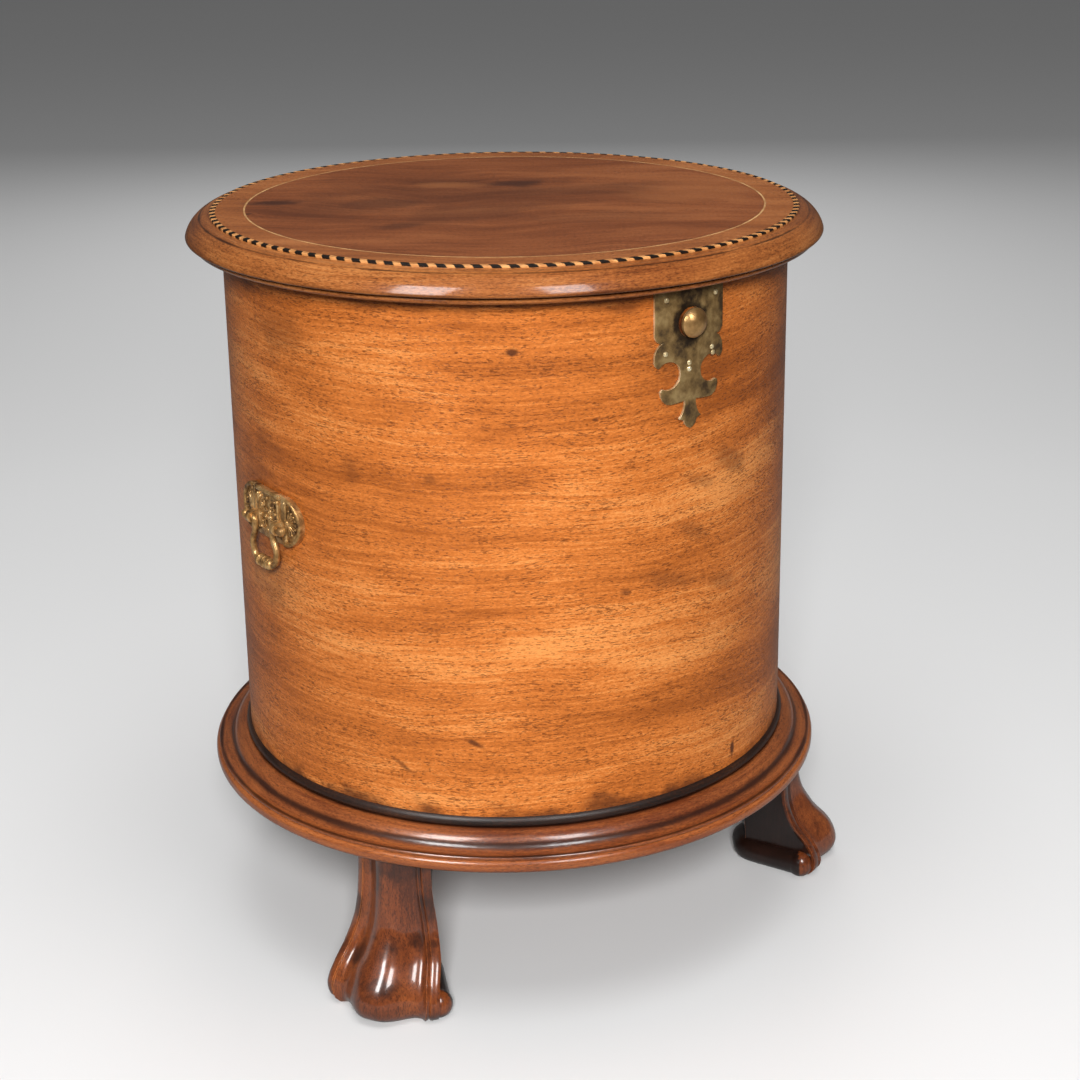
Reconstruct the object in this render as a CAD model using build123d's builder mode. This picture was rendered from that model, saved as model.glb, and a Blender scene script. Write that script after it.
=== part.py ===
from build123d import *
from math import cos, degrees, hypot, radians, sin, sqrt
import os

# Drum cellarette on three carved feet, in millimetres.
# The origin is on the floor under the centre of the drum. +Z is up.
# The lock plate faces -Y, the hinge is at +Y and the handles are at -X and +X.

# Carcase
foot_height = 115.0
base_overhang = 2.4
base_thickness = 9.0
base_nosing = 3.6
drum_radius = 203.0
drum_height = 383.5
wall = 16.0
plinth_reach = 24.6
plinth_height = 13.0
plinth_fillet = 2.2
plinth_shoulder = 2.4
plinth_swell_width = 11.0
plinth_hollow = 1.6
plinth_swell = 2.2
bead_height = 7.0
bead_reach = 3.0
floor_thickness = 12.0

# Fits and gaps
glue_gap = 0.1
running_gap = 0.05
lid_gap = 0.3
inlay_gap = 0.05
shake_gap = 0.3

# Liner and bottle rack
liner_headroom = 13.5
liner_sheet = 0.9
liner_rim = 2.0
cell_pitch = 88.0
slat_height = 185.0
slat_thickness = 6.0

# Lid
lid_overhang = 25.0
lid_board_overhang = 3.0
lid_board_thickness = 21.0
veneer = 1.2
string_inset = 17.0
string_width = 1.3
rope_overhang = 7.4
rope_width = 4.2
lid_fillet_width = 2.4
ovolo_width = 13.8
ovolo_foot_height = 5.2
ovolo_edge_height = 7.2
lid_bead_setback = 5.0
lid_bead_height = 4.0
lid_quirk_depth = 2.5
lid_step = 1.6
ovolo_swell = 2.9

# Hinge
hinge_length = 60.0
hinge_leaf = 1.5
hinge_leaf_gap = 0.3
hinge_leaf_width = 15.0
hinge_pin_radius = 1.5
knuckle_radius = 3.5
knuckle_clearance = 0.7
knuckle_end_gap = 0.2
hinge_screw_spacing = 20.0

# Lock plate
plate_thickness = 2.0
plate_half_width = 29.0
plate_shoulder_drop = 33.5
plate_notch_half_width = 26.0
plate_notch_drop = 37.0
plate_lobe_top_drop = 46.5
plate_lobe_drop = 53.0
plate_waist_half_width = 8.5
plate_waist_drop = 60.5
plate_wing_half_width = 24.5
plate_wing_drop = 70.5
plate_wing_foot_drop = 81.0
plate_leaf_half_width = 9.3
plate_leaf_drop = 91.5
plate_tip_drop = 98.8
plate_pin_radius = 1.5
plate_pin_across = 24.5
plate_pin_drop = 5.0
pin_length = 9.0

# Push button and catch
button_drop = 26.5
button_radius = 10.0
button_dome = 5.5
button_side = 2.5
button_stand = 3.5
button_travel = 3.0
button_clearance = 0.7
stem_radius = 4.0
rivet_radius = 2.5
bush_radius = 9.8
latch_case_half_width = 16.0
latch_case_drop = 46.0
latch_case_front = 4.6
latch_case_depth = 15.4
latch_case_sheet = 1.2
strike_depth = 6.8
strike_thickness = 2.0
strike_half_width = 10.0
strike_drop = 20.0
strike_window_half_width = 5.0
strike_window_height = 8.0
strike_window_foot = 3.5
strike_flange_half_width = 20.0
strike_flange_width = 12.0
catch_gap = 1.0
catch_thickness = 3.0
catch_half_width = 8.0
nose_reach = 2.5
spring_thickness = 0.5
spring_width = 10.0
spring_length = 24.0

# Side handles
handle_height = 337.0
handle_half_width = 38.5
handle_half_height = 18.0
handle_plate_thickness = 2.0
handle_relief = 3.6
handle_rim = 3.2
handle_bar = 3.0
handle_bar_offset = 19.5
handle_block_half = 14.0
fan_ribs = 9
fan_rib_width = 1.6
fan_spread = 150.0
fan_hub_offset = 23.6
fan_bead_radius = 1.1
eye_offset = 17.0
eye_thickness = 4.0
eye_radius = 4.4
eye_stand = 7.0
eye_drop = 5.0
bail_wire = 2.2
bail_top_half_width = 11.6
bail_bulge_half_width = 17.0
bail_drop = 29.0
bail_bends = [2.6, 6.0, 7.0, 6.5]
bail_ball_radius = 3.4
grip_bead_radius = 4.2
grip_bead_pitch = 7.0

# Feet, carved from a wedge-shaped block, narrow at the back. Their lobe and
# ridges are given at eight shares of their height, the lobe's reach from the
# edge of the base board.
front_left_turn = -60.0
front_right_turn = 54.0
rear_turn = 177.0
foot_shares = [0.0, 0.05, 0.13, 0.23, 0.35, 0.52, 0.75, 1.0]
lobe_reaches = [15.0, 22.0, 24.0, 19.0, 6.5, -4.5, -8.5, -10.0]
lobe_half_widths = [14.0, 18.5, 21.0, 20.5, 17.5, 14.0, 12.0, 11.0]
ridge_half_widths = [33.0, 35.5, 36.5, 34.0, 30.0, 26.0, 24.0, 24.0]
ridge_setback = 17.0
flute_setback = 15.0
flute_depth = 3.6
band_setback = 6.0
band_width = 7.5
panel_recess = 4.0
foot_depth = 49.0
foot_back_flare = 16.0
foot_back_half_width = 11.5
shoe_radius = 9.0
shoe_front_setback = 9.0
shoe_front_half_width = 37.5
shoe_nose_radius = 10.0
shoe_flat = 0.5

# Screws
screw_radius = 1.6
screw_head_radius = 3.2
screw_length = 14.0
foot_screw_radius = 2.4
foot_screw_head_radius = 4.6
foot_screw_length = 40.0
foot_screw_inset = 27.0
foot_screw_spacing = 18.0
base_screw_length = 32.0
base_screw_count = 6

# Heights and radii that follow
base_top = foot_height + base_thickness
plinth_top = base_top + plinth_height
drum_top = base_top + drum_height
drum_bore = drum_radius - wall
plinth_radius = drum_radius + plinth_reach
base_radius = plinth_radius + base_overhang
lid_radius = drum_radius + lid_overhang
lid_board_radius = drum_radius + lid_board_overhang
string_radius = drum_radius - string_inset
rope_radius = drum_radius + rope_overhang
ovolo_start_radius = lid_radius - ovolo_width
lid_bead_radius = lid_radius - lid_bead_setback
hinge_leaf_inset = drum_radius - hinge_leaf_width
foot_back_radius = base_radius - foot_depth
shoe_front_radius = base_radius - shoe_front_setback
foot_screw_far = base_radius - foot_screw_inset
foot_screw_near = foot_screw_far - foot_screw_spacing
floor_top = base_top + floor_thickness
lid_bottom = drum_top + lid_gap
veneer_bottom = lid_bottom + lid_board_thickness
lid_top = veneer_bottom + veneer
hinge_y = drum_radius + knuckle_radius + knuckle_clearance
hinge_z = drum_top + lid_gap / 2
button_z = drum_top - button_drop
liner_radius = drum_bore - shake_gap
liner_bore = liner_radius - liner_sheet
liner_top = drum_top - latch_case_drop - liner_headroom
rack_bottom = floor_top + liner_sheet
rope_bore = rope_radius - rope_width

os.makedirs("parts", exist_ok=True)


def wall_plane(turn, height, reach):
    """A plane that looks out of the drum. turn is in degrees from the front."""
    out = (sin(radians(turn)), -cos(radians(turn)), 0)
    across = (cos(radians(turn)), sin(radians(turn)), 0)
    return Plane((out[0] * reach, out[1] * reach, height), x_dir=across, z_dir=out)


def around(across):
    """The turn in degrees of a point this far across the drum's face."""
    return degrees(across / drum_radius)


def screw(radius, head_radius, length, gap=0.0):
    """A countersunk screw, or with a gap its hole, head up at the origin."""
    cone = head_radius - radius
    with BuildPart() as turned_screw:
        with BuildSketch(Plane.XZ):
            with BuildLine():
                Polyline(
                    (0, 0),
                    (head_radius + gap, 0),
                    (radius + gap, -cone),
                    (radius + gap, -0.8 * length - gap),
                    (0, -length - gap),
                    close=True,
                )
            make_face()
        revolve(axis=Axis.Z)
        if not gap:
            Box(2 * head_radius, 0.2 * head_radius, cone, mode=Mode.SUBTRACT)
    return turned_screw.part


def pin(radius, length, gap=0.0):
    """A dome-headed pin, or with a gap its hole, head at the origin, along -Z."""
    shank = 0.6 * radius + gap
    with BuildPart() as round_pin:
        with Locations((0, 0, -length / 2)):
            Cylinder(shank, length + 2 * gap)
        if not gap:
            Sphere(radius, arc_size1=0, align=(Align.CENTER, Align.CENTER, Align.MIN))
    return round_pin.part


def bent(outline, height, low, high):
    """A flat outline laid on the drum's front and bent to it."""
    with BuildPart() as layer:
        with BuildSketch(wall_plane(0, height, 0.9 * drum_radius)):
            add(outline)
        extrude(amount=0.2 * drum_radius)
        with BuildSketch(Plane.XY.offset(height)):
            Circle(drum_radius + high)
            Circle(drum_radius + low, mode=Mode.SUBTRACT)
        extrude(amount=drum_height, both=True, mode=Mode.INTERSECT)
    return layer.part


small_screw = screw(screw_radius, screw_head_radius, screw_length)
small_hole = screw(screw_radius, screw_head_radius, screw_length, glue_gap)
foot_screw = screw(foot_screw_radius, foot_screw_head_radius, foot_screw_length)
foot_hole = screw(
    foot_screw_radius, foot_screw_head_radius, foot_screw_length, glue_gap
)
base_screw = screw(screw_radius, screw_head_radius, base_screw_length)
base_hole = screw(screw_radius, screw_head_radius, base_screw_length, glue_gap)
head_down = (180, 0, 0)

foot_turns = {
    "front_left": front_left_turn,
    "front_right": front_right_turn,
    "rear": rear_turn,
}
foot_screws_at = [
    wall_plane(turn, base_top, reach).origin
    for turn in foot_turns.values()
    for reach in (foot_screw_near, foot_screw_far)
]
base_screws_at = [
    wall_plane(90 + 360 * i / base_screw_count, foot_height, drum_bore + wall / 2).origin
    for i in range(base_screw_count)
]

# Base board, a disc with a rounded nosing, bored for its screws
with BuildPart() as base_board:
    with BuildSketch(Plane.XY.offset(foot_height)):
        Circle(base_radius)
    extrude(amount=base_thickness)
    fillet(base_board.edges().filter_by(GeomType.CIRCLE), radius=base_nosing)
    with Locations(*foot_screws_at):
        add(foot_hole, mode=Mode.SUBTRACT)
    with Locations(*base_screws_at):
        add(base_hole, rotation=head_down, mode=Mode.SUBTRACT)

# Plinth moulding: a fillet, a hollow and a swell round the foot of the drum
plinth_bore = drum_radius + glue_gap
with BuildPart() as plinth_moulding:
    fillet_top = base_top + plinth_fillet
    hollow_start = (plinth_radius - plinth_fillet, fillet_top)
    swell_end = (plinth_bore + plinth_shoulder, plinth_top)
    swell_start = (swell_end[0] + plinth_swell_width, base_top + 0.42 * plinth_height)
    with BuildSketch(Plane.XZ):
        with BuildLine():
            Line((plinth_bore, base_top), (plinth_radius, base_top))
            Line((plinth_radius, base_top), (plinth_radius, fillet_top))
            Line((plinth_radius, fillet_top), hollow_start)
            SagittaArc(hollow_start, swell_start, plinth_hollow)
            SagittaArc(swell_start, swell_end, -plinth_swell)
            Line(swell_end, (plinth_bore, plinth_top))
            Line((plinth_bore, plinth_top), (plinth_bore, base_top))
        make_face()
    revolve(axis=Axis.Z)

# Plinth bead, the dark half round over the last line of that joint
with BuildPart() as plinth_bead:
    bead_foot = (plinth_bore + 0.4 * bead_reach, plinth_top)
    bead_belly = (plinth_bore + bead_reach, plinth_top + 0.4 * bead_height)
    bead_tip = (plinth_bore, plinth_top + bead_height)
    with BuildSketch(Plane.XZ):
        with BuildLine():
            Line((plinth_bore, plinth_top), bead_foot)
            ThreePointArc(bead_foot, bead_belly, bead_tip)
            Line(bead_tip, (plinth_bore, plinth_top))
        make_face()
    revolve(axis=Axis.Z)

# Places that the drum shell shares with what is fixed in it
latch_front = -(drum_radius - latch_case_front)
latch_back = latch_front + latch_case_depth
latch_bottom = drum_top - latch_case_drop
lower_leaf_top = hinge_z - hinge_leaf_gap
upper_leaf_bottom = hinge_z + hinge_leaf_gap
leaf_screw_y = drum_bore + wall / 2
hinge_screws_x = (-hinge_screw_spacing, 0, hinge_screw_spacing)
plate_pin_reach = drum_radius + glue_gap + plate_thickness
lobe_middle_drop = 0.5 * (plate_lobe_top_drop + plate_lobe_drop)
plate_pins_at = [
    wall_plane(around(across), drum_top - drop, plate_pin_reach)
    for across, drop in (
        (-plate_pin_across, plate_pin_drop),
        (plate_pin_across, plate_pin_drop),
        (-plate_pin_across, lobe_middle_drop),
        (plate_pin_across, lobe_middle_drop),
        (0, plate_waist_drop - 2 * plate_pin_radius),
    )
]
handle_pin_reach = drum_radius + glue_gap + handle_plate_thickness
handle_pins_at = {
    side: [
        wall_plane(turn + around(across), handle_height, handle_pin_reach)
        for across in (-fan_hub_offset, fan_hub_offset)
    ]
    for side, turn in (("left", -90), ("right", 90))
}
plate_pin = pin(plate_pin_radius, pin_length)
plate_pin_hole = pin(plate_pin_radius, pin_length, glue_gap)

# Drum shell, with the mortise of the latch, the gain of the hinge and bores
with BuildPart() as drum_shell:
    with BuildSketch(Plane.XY.offset(base_top)):
        Circle(drum_radius)
        Circle(drum_bore, mode=Mode.SUBTRACT)
    extrude(amount=drum_height)
    with BuildSketch(Plane.XY.offset(latch_bottom - glue_gap)):
        with Locations((0, latch_front - glue_gap)):
            Rectangle(
                2 * (latch_case_half_width + glue_gap),
                2 * wall,
                align=(Align.CENTER, Align.MIN),
            )
    extrude(amount=latch_case_drop + 2 * glue_gap, mode=Mode.SUBTRACT)
    with Locations(wall_plane(0, button_z, drum_radius)):
        Cylinder(bush_radius + glue_gap, wall, mode=Mode.SUBTRACT)
    with BuildSketch(Plane.XY.offset(lower_leaf_top - hinge_leaf)):
        with Locations((0, hinge_leaf_inset - glue_gap)):
            Rectangle(
                hinge_length + 2 * glue_gap, 2 * wall, align=(Align.CENTER, Align.MIN)
            )
    extrude(amount=2 * hinge_leaf, mode=Mode.SUBTRACT)
    with Locations(*[(x, leaf_screw_y, lower_leaf_top) for x in hinge_screws_x]):
        add(small_hole, mode=Mode.SUBTRACT)
    with Locations(*base_screws_at):
        add(base_hole, rotation=head_down, mode=Mode.SUBTRACT)
    with Locations(*plate_pins_at, *handle_pins_at["left"], *handle_pins_at["right"]):
        add(plate_pin_hole, mode=Mode.SUBTRACT)

# Case floor, laid inside the drum on the base board
with BuildPart() as case_floor:
    with BuildSketch(Plane.XY.offset(base_top)):
        Circle(drum_bore - glue_gap)
    extrude(amount=floor_thickness)

# Liner, a sheet-metal tub with its rim rolled inwards
with BuildPart() as liner:
    with BuildSketch(Plane.XZ):
        with BuildLine():
            Polyline(
                (0, floor_top),
                (liner_radius, floor_top),
                (liner_radius, liner_top),
                (liner_bore, liner_top),
                (liner_bore, rack_bottom),
                (0, rack_bottom),
                close=True,
            )
        make_face()
    with BuildSketch(Plane.XZ):
        with Locations((liner_radius - liner_rim, liner_top)):
            Circle(liner_rim)
    revolve(axis=Axis.Z)

# Divider slats, halved into each other over the full grid
half_slat = slat_height / 2
slat_slot = slat_thickness + shake_gap
slats = {}
for cross, names in (
    (False, ("rack_slat_left", "rack_slat_middle", "rack_slat_right")),
    (True, ("rack_slat_front", "rack_slat_centre", "rack_slat_rear")),
):
    for name, step in zip(names, (-1, 0, 1)):
        edge = abs(step) * cell_pitch + slat_thickness / 2
        reach = sqrt((liner_bore - shake_gap) ** 2 - edge**2)
        with BuildPart() as slat:
            with Locations((0, step * cell_pitch, rack_bottom)):
                Box(
                    2 * reach,
                    slat_thickness,
                    slat_height,
                    align=(Align.CENTER, Align.CENTER, Align.MIN),
                )
            slot_foot = rack_bottom + (0 if cross else half_slat)
            with Locations(
                *[(x * cell_pitch, step * cell_pitch, slot_foot) for x in (-1, 0, 1)]
            ):
                Box(
                    slat_slot,
                    2 * slat_thickness,
                    half_slat,
                    align=(Align.CENTER, Align.CENTER, Align.MIN),
                    mode=Mode.SUBTRACT,
                )
        slats[name] = slat.part if cross else slat.part.rotate(Axis.Z, -90)

# Foot, carved from a wedge-shaped block. A lobe swells down its face between
# two hollow flutes, each held by a sharp ridge and a raised band.
with BuildPart() as foot_block:
    for share, lobe_reach, lobe_half, ridge_half in zip(
        foot_shares, lobe_reaches, lobe_half_widths, ridge_half_widths
    ):
        lobe = base_radius + lobe_reach
        side = lobe - flute_setback
        ridge = lobe - ridge_setback
        band = ridge - band_setback
        band_half = ridge_half + band_width
        back = foot_back_radius - foot_back_flare * share**2
        flute_half = (lobe_half + ridge_half) / 2
        tip = (0, -lobe)
        with BuildSketch(Plane.XY.offset(share * foot_height)):
            with BuildLine() as half:
                ThreePointArc(
                    tip, (0.72 * lobe_half, -lobe + 0.3 * flute_setback), (lobe_half, -side)
                )
                ThreePointArc(
                    (lobe_half, -side),
                    (flute_half, -ridge + flute_depth),
                    (ridge_half, -ridge),
                )
                Polyline(
                    (ridge_half, -ridge),
                    (band_half, -band),
                    (band_half - panel_recess, -band + panel_recess),
                    (foot_back_half_width, -back),
                    (0, -back),
                )
                mirror(half.line, about=Plane.YZ)
            make_face()
    loft()
with BuildPart() as shoe:
    shoe_axis = shoe_radius - shoe_flat
    nose = (shoe_front_half_width, -shoe_front_radius, shoe_axis)
    heel = (foot_back_half_width, -foot_back_radius, shoe_axis)
    run = hypot(nose[0] - heel[0], nose[1] - heel[1])
    toward = (nose[0] - heel[0], nose[1] - heel[1], 0)
    with BuildSketch(Plane(heel, z_dir=toward)):
        Circle(shoe_radius)
    extrude(amount=run)
    with Locations(nose):
        Sphere(shoe_nose_radius)
    with Locations(heel):
        Sphere(shoe_radius)
    with Locations((heel[0] / 2, heel[1], heel[2])):
        Cylinder(shoe_radius, heel[0], rotation=(0, 90, 0))
    mirror(shoe.part, about=Plane.YZ)
feet = {}
for name, turn in foot_turns.items():
    with BuildPart() as foot:
        add(foot_block.part)
        add(shoe.part)
        split(bisect_by=Plane.XY, keep=Keep.TOP)
    turned_foot = foot.part.rotate(Axis.Z, turn)
    with BuildPart() as bored_foot:
        add(turned_foot)
        with Locations(*foot_screws_at):
            add(foot_hole, mode=Mode.SUBTRACT)
    feet[f"foot_{name}"] = bored_foot.part

# Screws of the feet and of the drum, through the base board
with BuildPart() as foot_screws:
    with Locations(*foot_screws_at):
        add(foot_screw)
with BuildPart() as base_screws:
    with Locations(*base_screws_at):
        add(base_screw, rotation=head_down)

# Lock plate, half its outline drawn from the middle of its top edge downwards
with BuildSketch() as lock_outline:
    bite = plate_wing_drop - plate_lobe_drop
    with BuildLine() as half_plate:
        corner = (plate_half_width, -plate_shoulder_drop)
        notch = (plate_notch_half_width, -plate_notch_drop)
        lobe_top = (plate_half_width, -plate_lobe_top_drop)
        lobe_side = (plate_half_width, -plate_lobe_top_drop - 2.0)
        lobe_end = (plate_half_width - 3.5, -plate_lobe_drop - 1.4)
        waist = (plate_waist_half_width, -plate_waist_drop)
        wing_top = (plate_wing_half_width - 2.0, -plate_wing_drop + 1.5)
        wing_tip = (plate_wing_half_width, -plate_wing_drop - 1.5)
        wing_foot = (0.62 * plate_wing_half_width, -plate_wing_foot_drop + 0.8)
        leaf_root = (0.5 * plate_leaf_half_width, -plate_wing_foot_drop + 1.8)
        leaf_side = (plate_leaf_half_width, -plate_leaf_drop)
        leaf_nick = (0.6 * plate_leaf_half_width, -plate_leaf_drop - 1.2)
        tip = (0, -plate_tip_drop)
        Polyline((0, 0), (plate_half_width, 0), corner)
        ThreePointArc(corner, (plate_half_width - 0.8, -plate_shoulder_drop - 2), notch)
        ThreePointArc(notch, (plate_half_width - 0.6, -plate_notch_drop - 4.2), lobe_top)
        Line(lobe_top, lobe_side)
        ThreePointArc(lobe_side, (plate_half_width - 0.9, -plate_lobe_drop), lobe_end)
        ThreePointArc(lobe_end, waist, wing_top)
        ThreePointArc(wing_top, (plate_wing_half_width, -plate_wing_drop), wing_tip)
        ThreePointArc(wing_tip, (0.88 * plate_wing_half_width, wing_foot[1] + 2), wing_foot)
        ThreePointArc(wing_foot, (0.4 * plate_wing_half_width, wing_foot[1] + 0.4), leaf_root)
        ThreePointArc(
            leaf_root,
            (0.62 * plate_leaf_half_width, -plate_leaf_drop + 5),
            leaf_side,
        )
        Line(leaf_side, leaf_nick)
        ThreePointArc(leaf_nick, (0.4 * plate_leaf_half_width, tip[1] + 2.2), tip)
        mirror(half_plate.line, about=Plane.YZ)
    make_face()
with BuildPart() as lock_plate:
    plate_face = glue_gap + plate_thickness
    add(bent(lock_outline.sketch, drum_top, glue_gap, plate_face))
    with Locations(wall_plane(0, button_z, drum_radius)):
        Cylinder(button_radius + button_clearance, wall, mode=Mode.SUBTRACT)
    with Locations(*plate_pins_at):
        add(plate_pin_hole, mode=Mode.SUBTRACT)
with BuildPart() as lock_plate_pins:
    with Locations(*plate_pins_at):
        add(plate_pin)

# Button bush, the sleeve in the wall that guides the button's stem
bush_front = -sqrt(drum_radius**2 - bush_radius**2)
with BuildPart() as button_bush:
    with BuildSketch(Plane.XZ.offset(-latch_front)):
        with Locations((0, button_z)):
            Circle(bush_radius)
            Circle(stem_radius + running_gap, mode=Mode.SUBTRACT)
    extrude(amount=latch_front - bush_front)

# Push button: a domed knob on a stem that ends in a rivet through the catch
strike_back = -(drum_radius - strike_depth) + strike_thickness
catch_front = strike_back + catch_gap
catch_back = catch_front + catch_thickness
knob_back = -(drum_radius + button_stand)
with BuildPart() as push_button:
    dome_radius = (button_radius**2 + button_dome**2) / (2 * button_dome)
    knob_edge = -knob_back + button_side
    with BuildSketch(Plane.YZ):
        with BuildLine():
            Polyline(
                (knob_edge + button_dome, 0),
                (-catch_back, 0),
                (-catch_back, rivet_radius),
                (-catch_front, rivet_radius),
                (-catch_front, stem_radius),
                (-knob_back, stem_radius),
                (-knob_back, button_radius - 0.6),
                (-knob_back + 0.6, button_radius),
                (knob_edge, button_radius),
            )
            RadiusArc(
                (knob_edge, button_radius), (knob_edge + button_dome, 0), dome_radius
            )
        make_face()
    revolve(axis=Axis.Y)
push_button_placed = push_button.part.rotate(Axis.Z, 180).moved(
    Location((0, 0, button_z))
)

# Latch catch: the plate on the stem, with a sloping nose in the strike's window
strike_bottom = lid_bottom - strike_drop
window_bottom = strike_bottom + strike_window_foot
nose_bottom = window_bottom + 0.5
nose_top = window_bottom + strike_window_height - 0.5
with BuildPart() as latch_catch:
    with BuildSketch(Plane.YZ):
        with BuildLine():
            Polyline(
                (catch_front, button_z - catch_half_width),
                (catch_back, button_z - catch_half_width),
                (catch_back, nose_top + 1.5),
                (catch_front, nose_top + 1.5),
                (catch_front, nose_top),
                (strike_back - nose_reach, nose_bottom + 2.0),
                (strike_back - nose_reach, nose_bottom),
                (catch_front, nose_bottom),
                close=True,
            )
        make_face()
    extrude(amount=catch_half_width, both=True)
    nose_half = strike_window_half_width - 0.5
    for side in (-1, 1):
        with BuildSketch(Plane.XY.offset(nose_bottom - 1)):
            with Locations((side * (nose_half + catch_half_width), catch_front)):
                Rectangle(
                    2 * catch_half_width, 4 * nose_reach, align=(Align.CENTER, Align.MAX)
                )
        extrude(amount=strike_window_height, mode=Mode.SUBTRACT)
    with Locations(Plane.XZ.offset(-catch_front)):
        with Locations((0, button_z)):
            Cylinder(rivet_radius, 4 * catch_thickness, mode=Mode.SUBTRACT)

# Latch spring, a bowed steel strip between the catch and the back of the case
spring_back = latch_back - latch_case_sheet - glue_gap
spring_front = catch_back + glue_gap
with BuildPart() as latch_spring:
    low = button_z - spring_length / 2
    high = button_z + spring_length / 2
    with BuildSketch(Plane.YZ):
        with BuildLine():
            ThreePointArc((spring_back, low), (spring_front, button_z), (spring_back, high))
            Line((spring_back, high), (spring_back, high - 3 * spring_thickness))
            ThreePointArc(
                (spring_back, high - 3 * spring_thickness),
                (spring_front + spring_thickness, button_z),
                (spring_back, low + 3 * spring_thickness),
            )
            Line((spring_back, low + 3 * spring_thickness), (spring_back, low))
        make_face()
    extrude(amount=spring_width / 2, both=True)

# Latch case, open at the top for the strike and at the front for the stem
with BuildPart() as latch_case:
    case_middle = (latch_front + latch_back) / 2
    with BuildSketch(Plane.XY.offset(latch_bottom)):
        with Locations((0, case_middle)):
            Rectangle(2 * latch_case_half_width, latch_case_depth)
    extrude(amount=latch_case_drop)
    with BuildSketch(Plane.XY.offset(latch_bottom + latch_case_sheet)):
        with Locations((0, case_middle)):
            Rectangle(
                2 * (latch_case_half_width - latch_case_sheet),
                latch_case_depth - 2 * latch_case_sheet,
            )
    extrude(amount=latch_case_drop - 2 * latch_case_sheet, mode=Mode.SUBTRACT)
    slot_front = strike_back - strike_thickness - catch_gap
    with BuildSketch(Plane.XY.offset(drum_top)):
        with Locations((0, slot_front)):
            Rectangle(
                2 * (strike_half_width + catch_gap),
                strike_thickness + 2 * catch_gap,
                align=(Align.CENTER, Align.MIN),
            )
    extrude(amount=2 * latch_case_sheet, both=True, mode=Mode.SUBTRACT)
    with Locations(wall_plane(0, button_z, -latch_front)):
        Cylinder(stem_radius + running_gap, 3 * latch_case_sheet, mode=Mode.SUBTRACT)

# Latch strike: a flange let into the lid, and the tongue with its window
flange_top = lid_bottom + strike_thickness
strike_front = strike_back - strike_thickness
strike_screws_at = [
    (side * (strike_flange_half_width - screw_head_radius - 1.0), strike_back, lid_bottom)
    for side in (-1, 1)
]
with BuildPart() as latch_strike:
    with BuildSketch(Plane.XY.offset(lid_bottom)):
        with Locations((0, strike_back)):
            Rectangle(2 * strike_flange_half_width, strike_flange_width)
    extrude(amount=strike_thickness)
    with BuildSketch(Plane.XZ.offset(-strike_back)):
        with Locations((0, strike_bottom)):
            Rectangle(
                2 * strike_half_width, strike_drop, align=(Align.CENTER, Align.MIN)
            )
        with Locations((0, window_bottom)):
            Rectangle(
                2 * strike_window_half_width,
                strike_window_height,
                align=(Align.CENTER, Align.MIN),
                mode=Mode.SUBTRACT,
            )
    extrude(amount=strike_thickness)
    with Locations(*strike_screws_at):
        add(small_hole, rotation=head_down, mode=Mode.SUBTRACT)
with BuildPart() as strike_screws:
    with Locations(*strike_screws_at):
        add(small_screw, rotation=head_down)

# Lid board, with the gain of the hinge and the bed of the strike
knuckle_room = knuckle_radius + knuckle_clearance
lid_gain_top = upper_leaf_bottom + hinge_leaf
lid_screws_at = [(x, leaf_screw_y, upper_leaf_bottom) for x in hinge_screws_x]
with BuildPart() as hinge_gain:
    gain_width = hinge_length + 2 * glue_gap
    with BuildSketch(Plane.XY.offset(drum_top)):
        with Locations((0, hinge_leaf_inset - glue_gap)):
            Rectangle(
                gain_width,
                hinge_y + knuckle_room - hinge_leaf_inset,
                align=(Align.CENTER, Align.MIN),
            )
    extrude(amount=lid_gain_top - drum_top)
    with BuildSketch(Plane.YZ):
        with Locations((hinge_y, hinge_z)):
            Circle(knuckle_room)
    extrude(amount=gain_width / 2, both=True)
with BuildPart() as lid_board:
    with BuildSketch(Plane.XY.offset(lid_bottom)):
        Circle(lid_board_radius)
    extrude(amount=lid_board_thickness)
    add(hinge_gain.part, mode=Mode.SUBTRACT)
    with BuildSketch(Plane.XY.offset(lid_bottom)):
        with Locations((0, strike_back)):
            Rectangle(
                2 * (strike_flange_half_width + glue_gap),
                strike_flange_width + 2 * glue_gap,
            )
    extrude(amount=strike_thickness, mode=Mode.SUBTRACT)
    with Locations(*strike_screws_at):
        add(small_hole, rotation=head_down, mode=Mode.SUBTRACT)
    with Locations(*lid_screws_at):
        add(small_hole, rotation=head_down, mode=Mode.SUBTRACT)

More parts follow.
